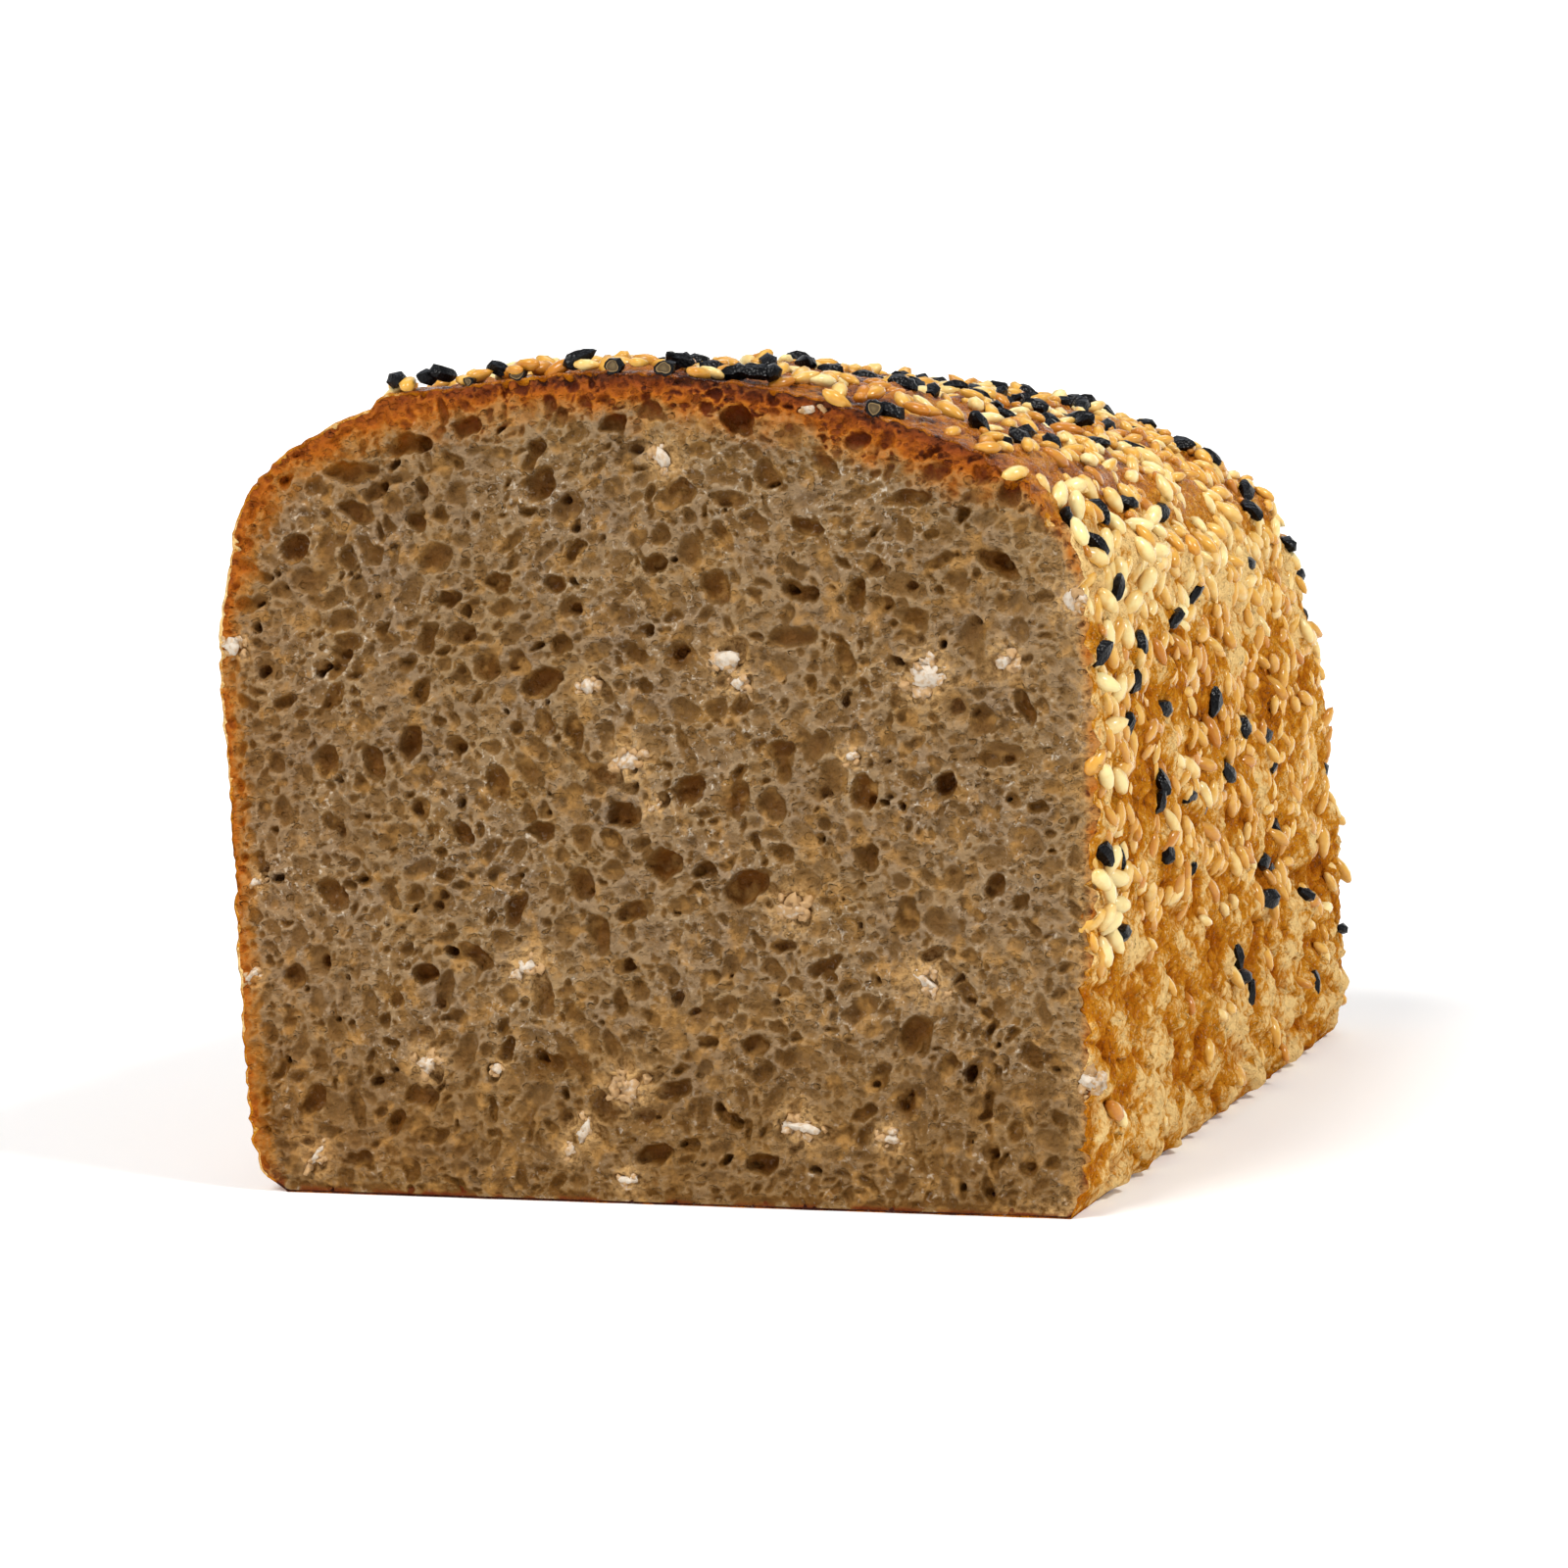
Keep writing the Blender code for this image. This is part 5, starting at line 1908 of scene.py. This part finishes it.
@dataclass
class BlackCuminCoat:
    """All the black cumin seeds, as one mesh. Side places are (y, z), dome places are (x, y), and
    cut places are x at the cut and the seed's half width."""

    crust: Crust
    shape: SeedShape = SeedShape(3.8, 2.35, 2.0, 6, (0.05, 0.2, 0.45, 0.7, 0.9), 0.38, 0.24)
    spacing: float = 5.6
    seed: int = 81
    side_places: tuple[Pair, ...] = (
        (4.2, 79.6), (17.6, 79.2), (34.4, 78.9), (53.1, 77.4), (8.3, 76.2), (9.4, 71.5),
        (58.9, 67.1), (42.8, 65.1), (19.9, 64.2), (3.3, 64.3), (18.5, 60.2), (35.0, 55.6),
        (64.5, 53.3), (13.8, 55.2), (83.0, 48.6), (94.6, 46.1), (97.9, 41.7), (69.1, 44.0),
        (30.9, 46.6), (28.9, 45.0), (45.4, 43.5), (56.9, 40.7), (35.1, 38.1), (43.9, 34.5),
        (2.8, 41.4), (11.6, 40.4), (11.6, 31.7), (102.1, 33.3), (94.2, 29.9), (101.9, 27.8),
        (91.4, 25.2), (114.6, 22.3), (75.3, 19.6), (76.5, 17.2), (82.0, 14.6), (120.7, 10.2),
        (113.2, 7.5), (105.7, 74.2), (93.4, 68.7), (129.8, 64.3), (125.5, 68.8),
    )
    dome_places: tuple[Pair, ...] = (
        (-29.6, 1.6), (-26.4, 1.7), (-24.2, 2.4), (-17.6, 3.2), (-14.9, 13.3), (-6.8, 1.9),
        (-8.5, 12.1), (2.0, 5.2), (4.4, 4.2), (6.8, 5.6), (10.6, 5.0), (12.4, 6.8), (13.4, 4.0),
        (15.0, 5.6), (8.0, 26.0), (0.2, 19.3), (-2.9, 36.9), (8.9, 52.6), (13.0, 32.6), (24.8, 37.0),
        (24.7, 60.9), (22.8, 31.0), (37.0, 13.7), (40.0, 11.7), (40.7, 17.3), (42.2, 24.6),
        (40.9, 53.5), (39.9, 74.1), (43.7, 73.6), (22.1, 84.6), (22.2, 104.8), (25.8, 102.6),
        (38.7, 106.4), (42.1, 109.6), (46.2, 111.8), (38.5, 30.0), (-21.0, 20.0), (29.5, 2.4),
    )
    cut_places: tuple[Pair, ...] = (
        (-14.6, 0.95), (-2.6, 1.15), (3.6, 1.2), (28.4, 1.15), (-20.8, 0.7),
    )
    cut_corners: int = 12
    wrinkle: float = 0.08

    def build(self) -> Piece:
        """Scatter the seeds: those that show from the front at their places, the rest by the rule.

        The hulls are wrinkled: each vertex is moved a little at random.

        Returns:
            The finished piece.
        """
        bed = SeedBed(self.crust, self.seed, self.spacing)
        places, outward, over = bed.places()
        draw = np.random.default_rng(self.seed + 1)
        share = 0.66 * bed.density(places, outward) * (1.0 - 0.2 * between(0.0, 16.0, places[:, 0]))
        keep = (draw.random(len(places)) < share) & (places[:, 1] > 1.0)
        keep &= ~((places[:, 0] > 36.0) & (places[:, 1] < 135.0))
        keep &= ~((places[:, 0] > -34.0) & (places[:, 1] < 30.0) & (places[:, 2] > 60.0))
        found = (tuple(values[keep] for values in (places, outward, over)),
                 self.crust.find(self.side_places, (1, 2), 20.0),
                 self.crust.find(self.dome_places, (0, 1), 50.0))
        places, outward, over = (np.concatenate(values) for values in zip(*found))
        count = len(places)
        turn = draw.uniform(0.0, 2.0 * math.pi, count)[:, None]
        along = np.cos(turn) * over + np.sin(turn) * np.cross(outward, over)
        up = bed.facing_up(outward)
        tilt = unit(outward + 0.22 * draw.normal(size=(count, 3)))
        sides = 0.12 * between(60.0, 30.0, places[:, 1]) - 0.16 * between(70.0, 100.0, places[:, 1])
        lift = self.shape.thickness * (0.28 * up + 0.02 + sides * (1.0 - up))
        lift = lift + 0.9 * up * between(12.0, 6.0, places[:, 1]) * between(24.0, 12.0, places[:, 0])
        size = draw.normal(1.0, 0.1, count).clip(0.7, 1.25)
        points, faces = self.shape.scatter(places + outward * lift[:, None], tilt, along, size)
        points = points + self.wrinkle * draw.normal(size=points.shape)
        halves, half_faces, inside = self.cut_halves(len(points))
        points = np.concatenate([points, halves])
        piece = Piece("black_cumin_seeds", self.crust.form.placed(points), faces + half_faces)
        piece.crease(34.0)
        piece.mark("inside", np.concatenate([np.zeros(len(points) - len(halves)), inside]))
        log.info("black cumin seeds: %d", count + len(self.cut_places))
        return piece

    def cut_halves(self, first: int) -> tuple[Array, list[Array], Array]:
        """Seeds that the knife went through: round bowls with their flat side at the cut.

        A bowl's rings run from near the flat side's middle out to its edge and back over the
        bowl. They are given by their share of the radius, their depth and how far inside they lie.

        Args:
            first: The number of their first vertex.

        Returns:
            Their vertices, their faces, and how deep inside the seed each vertex lies.
        """
        share = np.array([0.30, 0.52, 0.64, 0.72, 0.95, 1.0, 0.62])
        depth = np.array([0.0, 0.05, 0.0, 0.0, 0.05, 0.8, 1.9])
        inner = np.array([0.85, 0.6, 0.28, 0.12, 0.0, 0.0, 0.0])
        angle = 2.0 * math.pi * np.arange(self.cut_corners) / self.cut_corners
        edge, _, _ = self.crust.find(tuple((x, 0.0) for x, _ in self.cut_places), (0, 1), 50.0)
        rings = joined(share[:, None] * np.cos(angle), depth[:, None], share[:, None] * np.sin(angle))
        one = np.concatenate([rings.reshape(-1, 3), [[0.0, 0.0, 0.0], [0.0, 2.2, 0.0]]])
        inside = np.concatenate([np.repeat(inner, len(angle)), [1.0, 0.0]])
        radius = np.array([size for _, size in self.cut_places])[:, None, None]
        middle = joined(edge[:, 0], 0.05, edge[:, 2])[:, None, :]
        middle = middle + radius * np.array([0.0, 0.0, 0.55])
        points = one[None] * np.concatenate([radius, np.ones_like(radius), 0.85 * radius], -1) + middle
        points = points + 0.10 * WaveNoise(86, 1.6)(points)[..., None] * np.array([1.0, 0.0, 1.0])
        faces = copied_faces(closed_faces(len(share), len(angle)), len(edge), len(one), first)
        return points.reshape(-1, 3), faces, np.tile(inside, len(edge))


@dataclass(frozen=True)
class Flake:
    """One cracked grain on the cut face, in millimetres, with its tilt and how husky it is."""

    x: float
    z: float
    width: float
    height: float
    tilt: float
    husk: float = 0.2


@dataclass
class GrainFlakes:
    """The pale grain flakes on the cut face, as one mesh."""

    form: LoafForm
    around: int = 10
    across: int = 7
    lumps: int = 8
    seed: int = 95
    flakes: tuple[Flake, ...] = (
        Flake(-51.2, 65.3, 2.6, 2.4, 0.0), Flake(3.0, 87.0, 3.4, 1.6, -65.0),
        Flake(20.9, 92.3, 2.2, 1.1, 0.0), Flake(-2.2, 51.9, 3.2, 2.6, 20.0, 0.35),
        Flake(-6.8, 60.7, 2.2, 1.8, 10.0), Flake(10.1, 63.8, 3.4, 2.2, 0.0),
        Flake(11.5, 61.3, 2.4, 1.8, -20.0), Flake(33.9, 61.8, 4.2, 3.2, 0.0, 0.1),
        Flake(43.1, 63.6, 3.0, 1.8, 20.0), Flake(24.8, 52.7, 2.2, 1.2, 30.0),
        Flake(51.0, 70.7, 3.6, 1.8, 75.0, 0.3), Flake(-49.2, 37.2, 2.0, 1.2, 20.0),
        Flake(-50.1, 26.0, 2.0, 1.6, 40.0), Flake(-15.4, 27.8, 3.6, 2.2, 20.0),
        Flake(-28.1, 16.0, 2.6, 2.4, 0.0, 0.3), Flake(-42.5, 4.6, 3.4, 1.4, 55.0),
        Flake(-8.8, 8.4, 3.2, 1.3, 70.0), Flake(-10.6, 6.1, 2.0, 1.2, 40.0),
        Flake(-3.1, 13.7, 3.8, 2.6, 20.0, 0.55), Flake(-3.5, 2.9, 2.6, 1.4, 0.0),
        Flake(-19.5, 15.5, 1.6, 1.2, 0.0), Flake(17.3, 34.9, 3.6, 2.4, -10.0, 0.7),
        Flake(33.0, 27.1, 4.6, 1.8, -40.0, 0.2), Flake(17.9, 9.7, 4.4, 1.5, -10.0),
        Flake(28.6, 8.6, 2.6, 1.6, 0.0), Flake(0.8, 46.6, 2.0, 0.9, 30.0, 0.4),
        Flake(52.1, 15.9, 2.4, 2.8, 0.0, 0.1),
    )

    @staticmethod
    def tilted(x: Array, z: Array, tilt: Array) -> tuple[Array, Array]:
        """Turn places (x, z) about (0, 0) by a tilt in radians."""
        return x * np.cos(tilt) - z * np.sin(tilt), x * np.sin(tilt) + z * np.cos(tilt)

    def build(self) -> Piece:
        """Make each flake a cluster of small lumps that lie in the crumb's face.

        A lump is a ball of places (a, b), stretched to its own size and swollen by noise:
        r = 1 + swell * noise. The first lump is the flake's smooth pale core; the others are
        browner crumbs, drawn at random round it.

        Returns:
            The finished piece.
        """
        draw = np.random.default_rng(self.seed)
        a = 2.0 * math.pi * np.arange(self.around) / self.around
        b = math.pi * (np.arange(self.across) + 0.5) / self.across
        ball = joined(np.sin(b)[:, None] * np.cos(a), np.cos(b)[:, None], np.sin(b)[:, None] * np.sin(a))
        ball = np.concatenate([ball.reshape(-1, 3), [[0.0, 1.0, 0.0], [0.0, -1.0, 0.0]]])
        flakes = [(f.x, f.z, f.width, f.height, math.radians(f.tilt), f.husk) for f in self.flakes]
        x, z, wide, high, tilt, husk = np.repeat(np.array(flakes), self.lumps, axis=0).T
        rank = np.tile(np.arange(self.lumps), len(self.flakes))
        core = rank == 0
        off = draw.uniform(0.3, 0.7, len(x)) * ~core
        way = draw.uniform(0.0, 2.0 * math.pi, len(x))
        off_x, off_z = self.tilted(off * np.cos(way) * wide, off * np.sin(way) * high, tilt)
        sunk = draw.uniform(0.35, 0.6, len(x)) - 0.08 * core
        middle = joined(x + off_x, sunk, z + off_z)[:, None, :]
        share = np.where(core, 0.42, draw.uniform(0.16, 0.32, len(x)))
        even = 0.35 * wide + 0.65 * high
        size = joined(share * np.where(core, wide, even), np.minimum(share * even, 0.7),
                      share * np.where(core, high, even))[:, None, :]
        size = size * draw.uniform(0.8, 1.2, (len(x), 1, 3))
        local = ball[None] * size
        swell = np.where(core, 0.20, 0.30)[:, None, None]
        local = local * (1.0 + swell * WaveNoise(91, 0.9)(local + middle)[..., None])
        local_x, local_z = self.tilted(local[..., 0], local[..., 2], tilt[:, None])
        points = middle + joined(local_x, local[..., 1], local_z)
        faces = copied_faces(closed_faces(self.across, self.around, turned=True), len(x), len(ball))
        piece = Piece("grain_flakes", self.form.placed(points.reshape(-1, 3)), faces)
        tone = husk + ~core * (0.35 + 0.65 * draw.random(len(x))) + 0.1 * draw.normal(size=len(x))
        piece.mark("husk", np.repeat(tone, len(ball)))
        return piece


# ---- studio ----


def aim(body: bpy.types.Object, place: Triple, right: Array, up: Array, back: Array) -> None:
    """Move a lamp or a camera to a place and turn its three axes to three unit vectors."""
    turn = Matrix(joined(right, up, back).tolist()).to_4x4()
    body.matrix_world = Matrix.Translation(place) @ turn


@dataclass
class Studio:
    """Floor, lights and camera, sized in metres and degrees."""

    floor_radius: float = 3.0
    floor_start: float = 0.5
    floor_corners: int = 96
    floor_turns: int = 12
    floor_glow: float = 0.12
    floor_bend: float = 0.5
    wall_height: float = 0.9
    floor_colour: Colour = (0.86, 0.85, 0.83)
    sky_colour: Colour = (0.86, 0.91, 1.0)
    sky_strength: float = 0.36
    camera_place: Triple = (0.19804, -0.65157, 0.11207)
    yaw: float = 17.534
    pitch: float = 5.920
    roll: float = 1.310
    lens: float = 121.5
    sensor: float = 36.0

    def floor(self) -> None:
        """Lay a round pale floor that curves up to a low wall all round.

        Its profile runs outwards, turns up by a quarter circle and ends upright. It is turned
        about the loaf's middle.
        """
        columns = self.floor_corners
        turn = 0.5 * math.pi * np.arange(self.floor_turns + 1) / self.floor_turns
        bend = self.floor_radius - self.floor_bend + self.floor_bend * np.sin(turn)
        radius = np.concatenate([[self.floor_start], bend, [self.floor_radius]])
        height = np.concatenate([[0.0], self.floor_bend * (1.0 - np.cos(turn)), [self.wall_height]])
        angle = 2.0 * math.pi * np.arange(columns)[None, :] / columns
        rings = joined(radius[:, None] * np.cos(angle), radius[:, None] * np.sin(angle),
                       height[:, None])
        points = rings.reshape(-1, 3)
        faces = [*ring_faces(len(radius), columns).tolist(), list(range(columns))]
        mesh = bpy.data.meshes.new("floor")
        mesh.from_pydata(points.tolist(), [], faces)
        mesh.shade_smooth()
        shader = Shader("pale_floor")
        shader.set(Base_Color=self.floor_colour, Roughness=0.8, Specular_IOR_Level=0.2,
                   Emission_Color=(1.0, 1.0, 1.0), Emission_Strength=self.floor_glow)
        mesh.materials.append(shader.material)
        add_object("floor", mesh)

    def light(self, name: str, place: Triple, spread: float, power: float,
              colour: Colour) -> None:
        """Hang one soft light far away, that shines on the loaf's middle.

        Args:
            name: The light's name.
            place: The way from the loaf to it.
            spread: How wide it looks from the loaf, in degrees.
            power: Its power in watts for each square metre.
            colour: Its colour.
        """
        lamp = bpy.data.lights.new(name, "SUN")
        lamp.angle = math.radians(spread)
        lamp.energy = power
        lamp.color = colour
        away = unit(np.array(place))
        side = unit(np.cross([0.0, 0.0, 1.0], away))
        aim(add_object(name, lamp), place, side, np.cross(away, side), away)

    def lights(self) -> None:
        """Soft window light from the right and above, a cool sky behind, a broad fill in front."""
        bpy.context.scene.view_settings.view_transform = "Standard"
        self.light("window", (0.8, -0.30, 1.0), 10.0, 1.75, (1.0, 0.98, 0.95))
        self.light("sky", (-0.1, 0.8, 1.2), 30.0, 0.45, (0.80, 0.88, 1.0))
        self.light("fill", (-0.35, -0.8, 1.05), 24.0, 2.25, (1.0, 0.99, 0.97))
        world = bpy.data.worlds.new("studio")
        world.use_nodes = True
        sky = world.node_tree.nodes["Background"].inputs
        sky["Color"].default_value = (*self.sky_colour, 1.0)
        sky["Strength"].default_value = self.sky_strength
        bpy.context.scene.world = world

    def camera(self) -> None:
        """Set the camera where the photograph was taken from.

        It looks along f = (-sin yaw cos pitch, cos yaw cos pitch, -sin pitch) and is then rolled
        clockwise.
        """
        yaw, pitch, roll = (math.radians(angle) for angle in (self.yaw, self.pitch, self.roll))
        ahead = np.array([-math.sin(yaw) * math.cos(pitch), math.cos(yaw) * math.cos(pitch),
                          -math.sin(pitch)])
        level = np.array([math.cos(yaw), math.sin(yaw), 0.0])
        right = math.cos(roll) * level - math.sin(roll) * np.cross(level, ahead)
        up = np.cross(right, ahead)
        data = bpy.data.cameras.new("camera")
        data.lens = self.lens
        data.sensor_width = self.sensor
        data.sensor_fit = "HORIZONTAL"
        camera = add_object("camera", data)
        aim(camera, self.camera_place, right, up, -ahead)
        bpy.context.scene.camera = camera


def report(piece: Piece) -> None:
    """Log a finished piece's name and how many faces it has."""
    log.info("%s: %d faces", piece.body.name, len(piece.mesh.polygons))


def main() -> None:
    """Build the loaf piece by piece, report each one, and set the studio."""
    logging.basicConfig(level=logging.INFO, format="%(name)s: %(message)s")
    studio = Studio()
    studio.camera()

    form = LoafForm(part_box(LOAF_NODE))
    crust = Crust(form)
    report(crust.build().finish(CrustFinish().material(), "baked_crust", LOAF_NODE))
    crumb_look = CrumbFinish().material()
    for layer in Crumb(form, crust).build():
        report(layer.finish(crumb_look, "crumb", LOAF_NODE))
    report(GrainFlakes(form).build().finish(FlakeFinish().material(), "grain_flake"))
    report(SesameCoat(crust).build().finish(SesameFinish().material(), "sesame"))
    report(BlackCuminCoat(crust).build().finish(BlackCuminFinish().material(), "black_cumin"))

    studio.floor()
    studio.lights()


if __name__ == "__main__":
    main()
